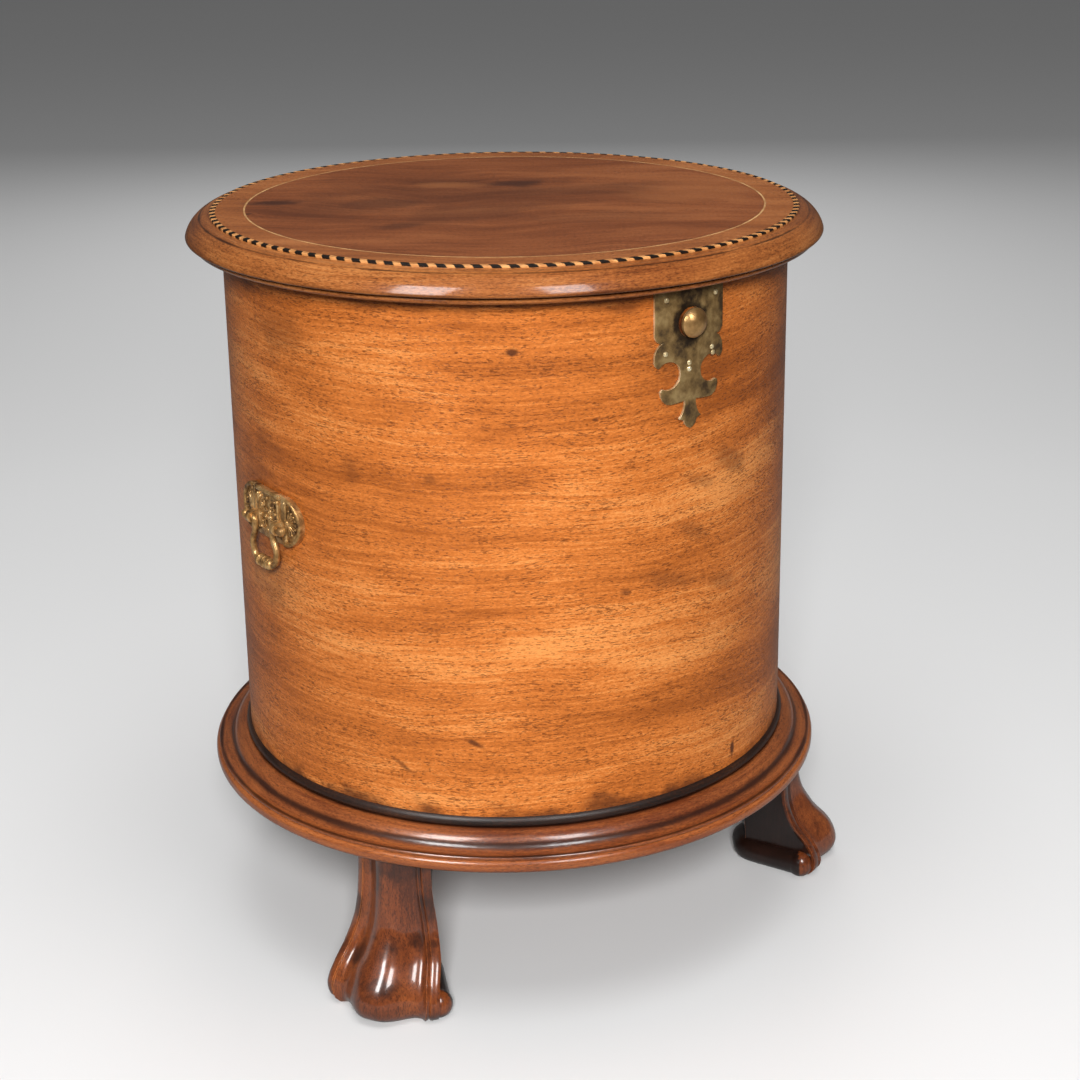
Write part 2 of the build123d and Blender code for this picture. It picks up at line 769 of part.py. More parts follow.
# Lid moulding: bead, quirk, broad ovolo and a flat that frames the banding
with BuildPart() as lid_moulding:
    bore = lid_board_radius + glue_gap
    quirk_radius = lid_bead_radius - lid_quirk_depth
    bead_top = lid_bottom + lid_bead_height
    ovolo_foot = lid_bottom + ovolo_foot_height
    ovolo_edge = (lid_radius, lid_bottom + ovolo_edge_height)
    ovolo_top = (ovolo_start_radius, lid_top - lid_step)
    flat_end = rope_radius + lid_fillet_width
    rebate = rope_radius + inlay_gap
    with BuildSketch(Plane.XZ):
        with BuildLine():
            Line((bore, lid_bottom), (quirk_radius, lid_bottom))
            ThreePointArc(
                (quirk_radius, lid_bottom),
                (lid_bead_radius, lid_bottom + lid_bead_height / 2),
                (quirk_radius, bead_top),
            )
            Polyline(
                (quirk_radius, bead_top),
                (quirk_radius, ovolo_foot),
                (lid_radius - 1.6, ovolo_foot),
                ovolo_edge,
            )
            SagittaArc(ovolo_edge, ovolo_top, -ovolo_swell)
            Polyline(
                ovolo_top,
                (flat_end, lid_top - lid_step),
                (flat_end, lid_top),
                (rebate, lid_top),
                (rebate, veneer_bottom),
                (bore, veneer_bottom),
                (bore, lid_bottom),
            )
        make_face()
    revolve(axis=Axis.Z)
    add(hinge_gain.part, mode=Mode.SUBTRACT)

# Veneers of the lid: field, string, border and rope banding, each a thin disc or ring
field_radius = string_radius - string_width / 2
string_edge = string_radius + string_width / 2


def veneer_ring(edge, bore):
    """A ring of veneer on the lid board, or a disc where bore is nothing."""
    with BuildPart() as ring:
        with BuildSketch(Plane.XY.offset(veneer_bottom)):
            Circle(edge)
            if bore:
                Circle(bore, mode=Mode.SUBTRACT)
        extrude(amount=veneer)
    return ring.part


veneers = {
    "lid_veneer_field": veneer_ring(field_radius, 0),
    "lid_string_inlay": veneer_ring(string_edge, field_radius + inlay_gap),
    "lid_veneer_border": veneer_ring(rope_bore - inlay_gap, string_edge + inlay_gap),
    "lid_rope_banding": veneer_ring(rope_radius, rope_bore),
}

# Hinge: two leaves whose knuckles share a pin along X
third = hinge_length / 3


def hinge_leaf_part(leaf_foot, knuckles, room):
    """A leaf with its knuckles, cut away where the other leaf's knuckles turn."""
    with BuildPart() as leaf:
        with BuildSketch(Plane.XY.offset(leaf_foot)):
            with Locations((0, hinge_leaf_inset)):
                Rectangle(
                    hinge_length, hinge_y - hinge_leaf_inset, align=(Align.CENTER, Align.MIN)
                )
        extrude(amount=hinge_leaf)
        for x, length in room:
            with Locations((x, hinge_y, hinge_z)):
                Box(length, 2 * knuckle_room, 2 * knuckle_room, mode=Mode.SUBTRACT)
        for x, length in knuckles:
            with Locations((x, hinge_y, hinge_z)):
                Cylinder(knuckle_radius, length, rotation=(0, 90, 0))
        with Locations((0, hinge_y, hinge_z)):
            Cylinder(
                hinge_pin_radius + running_gap,
                2 * hinge_length,
                rotation=(0, 90, 0),
                mode=Mode.SUBTRACT,
            )
    return leaf.part


outer_knuckles = [(-third, third), (third, third)]
outer_room = [(side * (third + knuckle_end_gap), third + 4 * knuckle_end_gap) for side in (-1, 1)]
inner_knuckle = [(0, third - 2 * knuckle_end_gap)]
with BuildPart() as hinge_case_leaf:
    add(hinge_leaf_part(lower_leaf_top - hinge_leaf, outer_knuckles, [(0, third)]))
    with Locations(*[(x, leaf_screw_y, lower_leaf_top) for x in hinge_screws_x]):
        add(small_hole, mode=Mode.SUBTRACT)
with BuildPart() as hinge_lid_leaf:
    add(hinge_leaf_part(upper_leaf_bottom, inner_knuckle, outer_room))
    with Locations(*lid_screws_at):
        add(small_hole, rotation=head_down, mode=Mode.SUBTRACT)
with BuildPart() as hinge_pin:
    with Locations((0, hinge_y, hinge_z)):
        Cylinder(hinge_pin_radius, hinge_length, rotation=(0, 90, 0))
with BuildPart() as hinge_case_screws:
    with Locations(*[(x, leaf_screw_y, lower_leaf_top) for x in hinge_screws_x]):
        add(small_screw)
with BuildPart() as hinge_lid_screws:
    with Locations(*lid_screws_at):
        add(small_screw, rotation=head_down)

# Side handle's back plate: raised rims, bars, a fan at each end and two eyes
eye_z = handle_height - eye_drop
eye_reach = drum_radius + eye_stand
with BuildSketch() as handle_outline:
    SlotOverall(2 * handle_half_width, 2 * handle_half_height)
with BuildSketch() as handle_raised:
    SlotOverall(2 * handle_half_width, 2 * handle_half_height)
    SlotOverall(
        2 * (handle_half_width - handle_rim),
        2 * (handle_half_height - handle_rim),
        mode=Mode.SUBTRACT,
    )
    Rectangle(2 * handle_bar_offset, 2 * handle_half_height, mode=Mode.SUBTRACT)
    with Locations((-handle_bar_offset, 0), (handle_bar_offset, 0)):
        Rectangle(handle_bar, 2 * handle_half_height - handle_rim)
    with Locations((0, handle_half_height - handle_rim / 2)):
        Rectangle(2 * handle_bar_offset - 2 * handle_bar, handle_rim)
with BuildSketch() as handle_fans:
    fan_reach = handle_half_width - handle_rim - fan_hub_offset - 2 * fan_bead_radius
    for side, middle in ((-1, 180), (1, 0)):
        with Locations((side * fan_hub_offset, 0)):
            with PolarLocations(
                0.58 * fan_reach, fan_ribs, middle - fan_spread / 2, fan_spread, endpoint=True
            ):
                SlotOverall(0.72 * fan_reach, fan_rib_width)
with BuildSketch() as handle_block:
    Rectangle(2 * handle_block_half, 2 * handle_block_half)
    with GridLocations(handle_block_half, handle_block_half, 2, 2):
        Circle(0.36 * handle_block_half, mode=Mode.SUBTRACT)
with BuildPart() as handle_plate:
    plate_face = glue_gap + handle_plate_thickness
    relief_face = glue_gap + handle_relief
    rib_face = (plate_face + relief_face) / 2
    add(bent(handle_outline.sketch, handle_height, glue_gap, plate_face))
    add(bent(handle_raised.sketch, handle_height, glue_gap, relief_face))
    add(bent(handle_fans.sketch, handle_height, glue_gap, rib_face))
    add(bent(handle_block.sketch, handle_height, glue_gap, rib_face))
    for side in (-1, 1):
        with Locations((side * eye_offset, -eye_reach, eye_z)):
            Cylinder(eye_radius, eye_thickness, rotation=(0, 90, 0))
            Box(
                eye_thickness,
                eye_stand,
                2 * eye_radius,
                align=(Align.CENTER, Align.MIN, Align.CENTER),
            )
    with BuildSketch(Plane.XY.offset(handle_height)):
        Circle(drum_radius + glue_gap)
    extrude(amount=4 * handle_half_height, both=True, mode=Mode.SUBTRACT)
    with Locations((0, -eye_reach, eye_z)):
        Cylinder(
            bail_wire + running_gap, 4 * eye_offset, rotation=(0, 90, 0), mode=Mode.SUBTRACT
        )
    with Locations(
        *[
            wall_plane(around(across), handle_height, handle_pin_reach)
            for across in (-fan_hub_offset, fan_hub_offset)
        ]
    ):
        add(plate_pin_hole, mode=Mode.SUBTRACT)

# Bail: pins through the eyes, S-bent arms and a grip with turned beads
with BuildPart() as bail:
    ball_at = eye_offset + eye_thickness / 2 + bail_ball_radius + 2.0
    half_route = [
        (ball_at, 0),
        (bail_top_half_width, 0),
        (bail_top_half_width + 0.6, -0.3 * bail_drop),
        (bail_bulge_half_width, -0.6 * bail_drop),
        (bail_bulge_half_width - 3.0, -bail_drop),
    ]
    route = half_route + [(-x, z) for x, z in reversed(half_route)]
    with BuildLine(wall_plane(0, eye_z, eye_reach)) as bail_line:
        FilletPolyline(*route, radius=bail_bends + list(reversed(bail_bends)))
    with BuildSketch(Plane(bail_line.line @ 0, z_dir=bail_line.line % 0)):
        Circle(bail_wire)
    sweep(path=bail_line.line)
    # each ball's seam is turned to the front, away from the wire that it joins
    for side in (-1, 1):
        with Locations((side * ball_at, -eye_reach, eye_z)):
            Sphere(bail_ball_radius, rotation=(0, 0, -90))
    for step in (-1, 0, 1):
        with Locations((step * grip_bead_pitch, -eye_reach, eye_z - bail_drop)):
            Sphere(grip_bead_radius, rotation=(0, 0, -90))

# Every finished piece under its name
pieces = {
    "base_board": base_board.part,
    "plinth_moulding": plinth_moulding.part,
    "plinth_bead": plinth_bead.part,
    "drum_shell": drum_shell.part,
    "case_floor": case_floor.part,
    "liner": liner.part,
    "foot_screws": foot_screws.part,
    "base_screws": base_screws.part,
    "lock_plate": lock_plate.part,
    "lock_plate_pins": lock_plate_pins.part,
    "button_bush": button_bush.part,
    "push_button": push_button_placed,
    "latch_catch": latch_catch.part,
    "latch_spring": latch_spring.part,
    "latch_case": latch_case.part,
    "latch_strike": latch_strike.part,
    "strike_screws": strike_screws.part,
    "lid_board": lid_board.part,
    "lid_moulding": lid_moulding.part,
    "hinge_case_leaf": hinge_case_leaf.part,
    "hinge_lid_leaf": hinge_lid_leaf.part,
    "hinge_pin": hinge_pin.part,
    "hinge_case_screws": hinge_case_screws.part,
    "hinge_lid_screws": hinge_lid_screws.part,
}
pieces.update(feet)
pieces.update(slats)
pieces.update(veneers)
for side, turn in (("left", -90), ("right", 90)):
    pieces[f"handle_{side}_plate"] = handle_plate.part.rotate(Axis.Z, turn)
    pieces[f"handle_{side}_bail"] = bail.part.rotate(Axis.Z, turn)
    with BuildPart() as handle_pins:
        with Locations(*handle_pins_at[side]):
            add(plate_pin)
    pieces[f"handle_{side}_pins"] = handle_pins.part
for name, piece in pieces.items():
    piece.label = name
    export_step(piece, f"parts/{name}.step")
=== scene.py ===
# %% [markdown]
# An antique drum cellarette, a round mahogany case that stands on three carved
# feet and holds bottles under an inlaid lid. The lid swings up on a hinge at the
# back, a brass push button lets it go, and a brass bail hangs on each side. The
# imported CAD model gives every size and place. This lesson dresses it: turned
# rings for the case, carved shapes for the feet, bevelled castings for the brass,
# and finishes made of nodes. We load the CAD first and keep its box, because the
# dressed object has to stay as large as that.

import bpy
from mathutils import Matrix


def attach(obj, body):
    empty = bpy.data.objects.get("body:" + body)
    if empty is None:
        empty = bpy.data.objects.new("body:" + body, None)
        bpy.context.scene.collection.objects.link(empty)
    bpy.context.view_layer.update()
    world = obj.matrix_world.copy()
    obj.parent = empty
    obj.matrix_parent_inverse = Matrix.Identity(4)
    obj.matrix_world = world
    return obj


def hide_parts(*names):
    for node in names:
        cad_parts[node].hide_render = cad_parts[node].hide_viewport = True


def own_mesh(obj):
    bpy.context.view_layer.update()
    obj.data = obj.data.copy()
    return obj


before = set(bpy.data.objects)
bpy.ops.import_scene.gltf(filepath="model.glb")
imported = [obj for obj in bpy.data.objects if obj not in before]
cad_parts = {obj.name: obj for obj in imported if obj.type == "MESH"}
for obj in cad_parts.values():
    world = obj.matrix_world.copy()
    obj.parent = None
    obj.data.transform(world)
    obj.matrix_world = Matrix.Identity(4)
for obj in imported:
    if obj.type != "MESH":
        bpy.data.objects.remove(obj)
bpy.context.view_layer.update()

# %% [markdown]
# The camera comes before any shape, so that each piece can be judged in the view
# that matters. It stands 1.44 m from the middle of the drum, above the lid, and
# looks down by about 18 degrees. The picture was cropped off centre, so the lens
# is shifted instead of turned. A camera looks along its own -Z, so we turn it up
# from the floor by Euler angles and add the slight roll in its own frame.

# %% Camera
from cmath import phase, rect
from math import cos, pi, radians, sin

import bpy
from mathutils import Matrix, Vector

MM = 0.001
image_width = 1080
focal_pixels = 2016.964
camera_place = (-834.6 * MM, -1170.1 * MM, 808.15 * MM)
view_turn, view_pitch, view_roll = -38.167, -17.742, -0.291
optical_centre = (600, 440)

lens_data = bpy.data.cameras.new("studio_camera")
lens_data.sensor_width = 36
lens_data.lens = focal_pixels / image_width * lens_data.sensor_width
lens_data.shift_x = (image_width / 2 - optical_centre[0]) / image_width
lens_data.shift_y = (optical_centre[1] - image_width / 2) / image_width
camera = bpy.data.objects.new("studio_camera", lens_data)
bpy.context.scene.collection.objects.link(camera)
camera.matrix_world = (
    Matrix.Translation(camera_place)
    @ Matrix.Rotation(radians(view_turn), 4, "Z")
    @ Matrix.Rotation(radians(90 + view_pitch), 4, "X")
    @ Matrix.Rotation(radians(view_roll), 4, "Z")
)
bpy.context.scene.camera = camera
print("lens", round(lens_data.lens, 2), "mm")

# %% [markdown]
# Colours are written as they look on screen, in sRGB hex, and Blender calculates in
# linear light, so one function converts them. One adds a node and feeds its inputs,
# where a node given as an input stands for its first live output. A third starts a
# material with its shader, and a fourth ends it with its colour and relief.

# %% Colour and node helpers
def srgb(code):
    """A hex colour such as "#8a5030" as linear red, green, blue and alpha."""
    parts = [int(code[i : i + 2], 16) / 255 for i in (1, 3, 5)]
    linear = [c / 12.92 if c <= 0.04045 else ((c + 0.055) / 1.055) ** 2.4 for c in parts]
    return (*linear, 1.0)


def feed(target, socket, value):
    """Sets a node's input to a value, an output, or a node's first live output."""
    if isinstance(value, bpy.types.Node):
        value = next(output for output in value.outputs if output.enabled)
    if isinstance(value, bpy.types.NodeSocket):
        target.id_data.links.new(value, target.inputs[socket])
    else:
        target.inputs[socket].default_value = value


def node(tree, kind, inputs=None, stops=None, **settings):
    """Adds a node with these inputs, a ramp's stops and any other settings."""
    made = tree.nodes.new("ShaderNode" + kind)
    for setting, value in settings.items():
        setattr(made, setting, value)
    for socket, value in (inputs or {}).items():
        feed(made, socket, value)
    if stops:
        elements = made.color_ramp.elements
        elements.remove(elements[1])
        elements[0].position = stops[0][0]
        elements[0].color = srgb(stops[0][1])
        for place, code in stops[1:]:
            elements.new(place).color = srgb(code)
    return made


def start_finish(name, **values):
    """A new material with a Principled shader. Returns it and its tree."""
    material = bpy.data.materials.new(name)
    material.use_nodes = True
    tree = material.node_tree
    tree.nodes.clear()
    shader = node(tree, "BsdfPrincipled", {k.replace("_", " "): v for k, v in values.items()})
    node(tree, "OutputMaterial", {"Surface": shader})
    return material, tree


def surface(material, colour, relief=None, strength=0.2, depth=0.3, sunk=True):
    """Ends a finish with its colour and, where relief is given, a bump of depth in mm."""
    tree = material.node_tree
    shader = tree.nodes["Principled BSDF"]
    feed(shader, "Base Color", colour)
    if relief is not None:
        feed(shader, "Normal", node(tree, "Bump", {"Strength": strength, "Height": relief,
                                                   "Distance": depth * MM}, invert=sunk))
    print(material.name, len(tree.nodes), "nodes")
    return material


# %% [markdown]
# Wood grain follows the log, so each pattern needs a vector whose x runs with the
# grain and whose y and z run across it, in metres. Round the drum the grain runs
# horizontally: x becomes the distance round the wall, from the angle, and the
# seam falls at the back, where the real veneer has its joint too.

# %% Grain directions
wall_radius = 203 * MM


def grain_round(tree):
    """x round the drum, y up, z out. The seam is at the back, under the hinge."""
    place = node(tree, "TexCoord").outputs["Object"]
    axes = node(tree, "SeparateXYZ", {0: place}).outputs
    back = node(tree, "Math", {0: axes["Y"], 1: -1.0}, operation="MULTIPLY")
    angle = node(tree, "Math", {0: axes["X"], 1: back}, operation="ARCTAN2")
    run = node(tree, "Math", {0: angle, 1: wall_radius}, operation="MULTIPLY")
    flat = node(tree, "CombineXYZ", {"X": axes["X"], "Y": axes["Y"]})
    reach = node(tree, "VectorMath", {0: flat}, operation="LENGTH")
    return node(tree, "CombineXYZ", {"X": run, "Y": axes["Z"], "Z": reach})


def grain_flat(tree, turn=(0, 0, 0)):
    """Straight grain along X, turned by these degrees about X, Y and Z."""
    place = node(tree, "TexCoord").outputs["Object"]
    return node(tree, "Mapping", {"Vector": place, "Rotation": [radians(t) for t in turn]})


# %% [markdown]
# Mahogany shows several things at once, each at its own scale. The grain vector is
# in metres, so a factor of 17 makes one wave of noise 1/17 m, about 60 mm. Bands of
# tone are 60 mm wide and 250 mm long, ribbons 2 mm wide and 60 mm long, and a mottle
# of 1 by 2 mm breaks both up. Pores are dark dashes 3 mm long that darken with age
# and crowd in patches of 14 by 45 mm. Real pores are 0.2 mm wide. They are drawn near
# 0.7 mm here, the finest that the picture can show. A slow noise first sways the
# grain, because no board is straight all the way.

# %% Mahogany figure
def figure(tree, grain, dark, middle, light, pore="#3a1a0c", pore_share=0.55, sway=0.03):
    """Colour and pore height of polished mahogany, for a grain vector in metres."""
    slow = node(tree, "TexNoise", {"Vector": grain, "Scale": 5.0, "Detail": 2.0})
    shift = node(tree, "VectorMath", {0: slow.outputs["Color"], 1: (0, sway, 0), 2: grain},
                 operation="MULTIPLY_ADD")
    layers = {}
    for layer, scale, detail in (
        ("bands", (4, 17, 17), 3.0),
        ("ribbons", (16, 480, 480), 4.0),
        ("pores", (300, 1500, 1500), 1.5),
        ("mottle", (420, 900, 900), 2.0),
        ("patches", (22, 70, 70), 4.0),
    ):
        stretched = node(tree, "VectorMath", {0: shift, 1: scale}, operation="MULTIPLY")
        layers[layer] = node(tree, "TexNoise", {"Vector": stretched, "Scale": 1.0,
                                                "Detail": detail, "Roughness": 0.6})
    tone = 0.0
    for layer, weight in (("ribbons", 0.28), ("bands", 0.5), ("mottle", 0.22)):
        tone = node(tree, "Math", {0: layers[layer], 1: weight, 2: tone},
                    operation="MULTIPLY_ADD")
    colour = node(tree, "ValToRGB", {"Fac": tone}, ((0.4, dark), (0.5, middle), (0.6, light)))
    density = node(tree, "Math", {0: layers["patches"], 1: 0.28, 2: layers["pores"]},
                   operation="MULTIPLY_ADD")
    dash = node(tree, "MapRange", {"Value": density, "From Min": 0.69, "From Max": 0.8},
                interpolation_type="SMOOTHSTEP")
    amount = node(tree, "Math", {0: dash, 1: pore_share}, operation="MULTIPLY")
    return node(tree, "Mix", {0: amount, 6: colour, 7: srgb(pore)}, data_type="RGBA"), dash


def soft_spots(tree, place, spots, breakup=60.0):
    """How strongly the spots mark each point, as dirt, stains, painted shade and painted sheen.
    spots hold (x, y, half length, half width, turn, amount).

    A Mapping node of the texture kind brings each spot to a circle of radius 1, and its
    huge scale along z leaves only x and y to count."""
    rough = node(tree, "TexNoise", {"Vector": place, "Scale": breakup, "Detail": 6.0,
                                    "Roughness": 0.65})
    total, flatten = 0.0, 1e6
    for x, y, length, width, turn, amount in spots:
        spot = node(tree, "Mapping", {
            "Vector": place, "Location": (x * MM, y * MM, 0), "Rotation": (0, 0, radians(turn)),
            "Scale": (length * MM, width * MM, flatten)}, vector_type="TEXTURE")
        distance = node(tree, "VectorMath", {0: spot}, operation="LENGTH")
        ragged = node(tree, "Math", {0: rough, 1: -1.6, 2: distance}, operation="MULTIPLY_ADD")
        inside = node(tree, "MapRange", {"Value": ragged, "From Min": 0.2, "From Max": -0.55,
                      "To Max": amount}, interpolation_type="SMOOTHSTEP")
        total = node(tree, "Math", {0: inside, 1: total}, operation="MAXIMUM")
    return total


# %% [markdown]
# The drum is veneered and French polished: shellac rubbed on in thin coats, which
# gives a soft sheen over an orange brown. Two centuries have left finger dirt round
# the lock plate and a few knocks. Painted shade darkens the wall under the lid's
# overhang and low down at the plinth, the drum's sides in broad patches, and the gap
# round the button. The knocks, the dirt and the patches are each a smudge at its own place, not
# an even noise.

# %% Finish of the drum
drum_finish, tree = start_finish("french_polished_drum", Roughness=0.42,
                                 Specular_IOR_Level=0.25, Coat_Weight=0.04,
                                 Coat_Roughness=0.2)
grain = grain_round(tree)
colour, dash = figure(tree, grain, "#a2561f", "#ca7230", "#e89650", "#62300f", 0.72)
drum_marks_and_shade = [
    # mm round the wall from the lock plate, and up; half length and width, turn, amount
    # most are knocks and finger dirt; the broad ones at -300, -330, -480, 120, 250 and 430 mm are
    # painted shade on the sides, and the last is a painted shadow in the gap round the button
    (-124, 472, 5, 3, 0, 0.9), (-70, 424, 3, 2, 0, 0.7), (-154, 199, 9, 3, -25, 0.8),
    (-205, 177, 14, 2.5, -35, 0.6), (50, 156, 3, 9, 0, 0.9), (42, 376, 26, 14, -30, 0.42),
    (11, 369, 22, 7, -25, 0.36), (3, 335, 26, 8, -30, 0.36), (-15, 303, 34, 9, -15, 0.34),
    (33, 291, 26, 9, -20, 0.34), (-49, 301, 6, 4, 0, 0.6), (-300, 470, 40, 26, 0, 0.34),
    (-53, 498, 22, 10, 0, 0.5), (0, 455, 50, 62, 0, 0.34), (-236, 386, 9, 14, 0, 0.35),
    (-179, 386, 7, 5, 0, 0.45), (-330, 320, 50, 90, 0, 0.4), (120, 420, 50, 70, 0, 0.3),
    (250, 300, 60, 30, 10, 0.3), (-480, 250, 60, 40, 10, 0.3), (430, 430, 50, 30, 0, 0.3),
    (0, 481, 19, 19, 0, 0.97),
]
# Knocks and finger dirt, with painted shade on the sides and in the gap round the button.
dirt_and_shade = soft_spots(tree, grain, drum_marks_and_shade)
height = node(tree, "SeparateXYZ", {0: grain}).outputs["Y"]
cloud = node(tree, "TexNoise", {"Vector": grain, "Scale": 38.0, "Detail": 5.0})
wavy = node(tree, "Math", {0: cloud, 1: -0.05, 2: height}, operation="MULTIPLY_ADD")
# Two bands of painted shade: under the lid's overhang, and low on the wall behind the plinth.
for shade_starts, shade_full, most in ((0.468, 0.492, 0.75), (0.128, 0.112, 0.8)):
    edge = node(tree, "MapRange", {"Value": wavy, "From Min": shade_starts, "From Max": shade_full,
                "To Max": most}, interpolation_type="SMOOTHSTEP")
    dirt_and_shade = node(tree, "Math", {0: edge, 1: dirt_and_shade}, operation="MAXIMUM")
colour = node(tree, "Mix", {0: dirt_and_shade, 6: colour, 7: srgb("#4a2412")}, data_type="RGBA")
surface(drum_finish, colour, dash, 0.35)

# %% [markdown]
# The mouldings were turned from solid mahogany and polished harder, so they are
# redder and shine more. Painted shade darkens their hollows and quirks, with the wax
# and soot that stay there. One function makes the finish for the lid's edge, the
# plinth and the base, because only their tones and the places of the lines of painted
# shade differ. The lid's edge has less sheen under its clear coat, so that its highlights stay
# narrow.

# %% Finish of the mouldings
def moulding_finish(name, dark, middle, light, shade_lines, sheen=0.5):
    """Turned and polished mahogany. shade_lines hold (radius, height, spread) in mm of painted
    shade along hollows and quirks.
    """
    material, tree = start_finish(name, Roughness=0.28, Specular_IOR_Level=sheen,
                                  Coat_Weight=0.5, Coat_Roughness=0.12)
    grain = grain_round(tree)
    colour, dash = figure(tree, grain, dark, middle, light, "#2c120a", 0.5)
    axes = node(tree, "SeparateXYZ", {0: grain}).outputs
    rough = node(tree, "TexNoise", {"Vector": grain, "Scale": 30.0, "Detail": 4.0})
    section = node(tree, "CombineXYZ", {"X": axes["Z"], "Y": axes["Y"]})
    dirt_and_shade = 0.0
    # Each line darkens a hollow or quirk: painted shade, with the wax and soot there.
    for radius, line_height, spread in shade_lines:
        distance = node(tree, "VectorMath", {0: section, 1: (radius * MM, line_height * MM, 0)},
                        operation="DISTANCE")
        ragged = node(tree, "Math", {0: rough, 1: 0.003, 2: distance}, operation="MULTIPLY_ADD")
        near = node(tree, "MapRange", {"Value": ragged, "From Min": (spread + 2.2) * MM,
                    "From Max": (0.35 * spread + 1.0) * MM, "To Max": 0.88},
                    interpolation_type="SMOOTHSTEP")
        dirt_and_shade = node(tree, "Math", {0: near, 1: dirt_and_shade}, operation="MAXIMUM")
    colour = node(tree, "Mix", {0: dirt_and_shade, 6: colour, 7: srgb("#26110b")}, data_type="RGBA")
    return surface(material, colour, dash)


# The lines are painted shade: the quirks under and in the lid's ovolo, the plinth's hollow and
# joints, and the base board's lower edge by the floor.
lid_edge_finish = moulding_finish("polished_lid_moulding", "#6e3a1b", "#98592b", "#b67540",
                                  [(221.5, 512.5, 2.4), (226.4, 513.0, 2.4),
                                   (217.5, 526.6, 0.6)], 0.1)
plinth_finish = moulding_finish("polished_plinth", "#683219", "#8f4f28", "#a96132",
                                [(226.0, 126.4, 1.6), (217.0, 129.5, 3.2), (204.5, 137.0, 2.2)])
base_finish = moulding_finish("polished_base_board", "#824220", "#a45c2e", "#bc703c",
                              [(230.0, 112.5, 0.6)])

# %% [markdown]
# The lid's veneer has faded under the light to a dull brown, and wet bottles and
# glasses have left purple black stains, where iron in the water met the tannin of
# the wood. Its grain runs across the view, so a Mapping node turns the pattern.

# %% Finish of the lid's veneer
view_grain = (0, 0, 37)
water_stains = [
    # mm from the middle of the lid, half length and width, turn, amount
    (-132, 100, 30, 15, -37, 0.75), (-74, 50, 56, 30, -37, 0.5), (46, 50, 30, 24, -30, 0.72),
    (40, 10, 90, 26, -37, 0.4), (-40, -20, 90, 60, -30, 0.34), (100, -10, 60, 26, -37, 0.32),
    (-108, -26, 26, 13, -10, 0.45), (-167, 76, 4, 3, 0, 0.8), (20, -90, 80, 30, -37, 0.2),
    (-10, 40, 170, 90, -37, 0.3), (-110, 60, 60, 60, 0, 0.3),
]


def lid_veneer(name, dark, middle, light):
    """Faded veneer with the water stains at their places, a lighter spot and a broad painted
    sheen.
    """
    material, tree = start_finish(name, Roughness=0.5, Coat_Weight=0.04, Coat_Roughness=0.3)
    colour, dash = figure(tree, grain_flat(tree, view_grain), dark, middle, light, "#42200e",
                          0.5, 0.12)
    place = node(tree, "TexCoord").outputs["Object"]
    stain = soft_spots(tree, place, water_stains, 28.0)
    colour = node(tree, "Mix", {0: stain, 6: colour, 7: srgb("#301a14")}, data_type="RGBA")
    # A small lighter spot, and a broad patch at the right back that is a painted sheen.
    light_spot_and_sheen = soft_spots(tree, place, [(0, 78, 36, 16, -37, 0.4), (130, -60, 70, 60, 0, 0.25)], 28.0)
    colour = node(tree, "Mix", {0: light_spot_and_sheen, 6: colour, 7: srgb("#a86a3c")}, data_type="RGBA")
    return surface(material, colour, dash, 0.25)


lid_finish = lid_veneer("faded_lid_veneer", "#64341a", "#804624", "#985a32")
border_finish = lid_veneer("lid_border_veneer", "#784423", "#95572c", "#ae6e3e")

# %% [markdown]
# The string is a line of boxwood, pale cream under old polish. The rope banding is a
# strip of slanted boxwood and ebony blocks, so that it looks like a twisted cord. The
# blocks run through the strip from its top to its side, so a pattern on the ring's
# angle, shifted by the radius and the height, says where each block is.

# %% Finishes of the inlays
string_finish, tree = start_finish("boxwood_string", Roughness=0.4)
shade = node(tree, "TexNoise", {"Vector": grain_round(tree), "Scale": 60.0, "Detail": 3.0})
surface(string_finish, node(tree, "ValToRGB", {"Fac": shade},
                            ((0.35, "#a87a4c"), (0.65, "#d8ac74"))))

rope_blocks = 115
block_slant = -46.0
rope_finish, tree = start_finish("boxwood_and_ebony_rope", Roughness=0.4)
axes = node(tree, "SeparateXYZ", {0: grain_round(tree)}).outputs
turns = node(tree, "Math", {0: axes["X"], 1: rope_blocks / (2 * pi * wall_radius)},
             operation="MULTIPLY")
outward = node(tree, "Math", {0: axes["Z"], 1: axes["Y"]}, operation="SUBTRACT")
slant = node(tree, "Math", {0: outward, 1: block_slant, 2: turns}, operation="MULTIPLY_ADD")
block_share = node(tree, "Math", {0: slant}, operation="FRACT")
rise, fall = [node(tree, "MapRange", {"Value": block_share, "From Min": edge,
                                      "From Max": edge + 0.05}) for edge in (0.0, 0.46)]
light_block = node(tree, "Math", {0: rise, 1: fall}, operation="SUBTRACT")
shade = node(tree, "TexNoise", {"Vector": grain_round(tree), "Scale": 160.0, "Detail": 2.0})
boxwood = node(tree, "ValToRGB", {"Fac": shade}, ((0.3, "#b4753e"), (0.7, "#e0a263")))
colour = node(tree, "Mix", {0: light_block, 6: srgb("#120b07"), 7: boxwood}, data_type="RGBA")
surface(rope_finish, colour)

# %% [markdown]
# The bead over the plinth joint was ebonised, stained black with iron and polished.
# The inside is plain: oak slats and boards without polish, and a tub of sheet zinc
# that has gone dull. The screws and the hinge pin are steel.

# %% Plain finishes
bead_finish, tree = start_finish("ebonised_bead", Roughness=0.42)
surface(bead_finish, figure(tree, grain_round(tree), "#140b07", "#2a180f", "#4e2e1a")[0])


def plain_wood(name, turn, dark, middle, light):
    """Unpolished wood with straight grain."""
    material, tree = start_finish(name, Roughness=0.6)
    colour, dash = figure(tree, grain_flat(tree, turn), dark, middle, light, "#4a3018", 0.35)
    return surface(material, colour, dash)


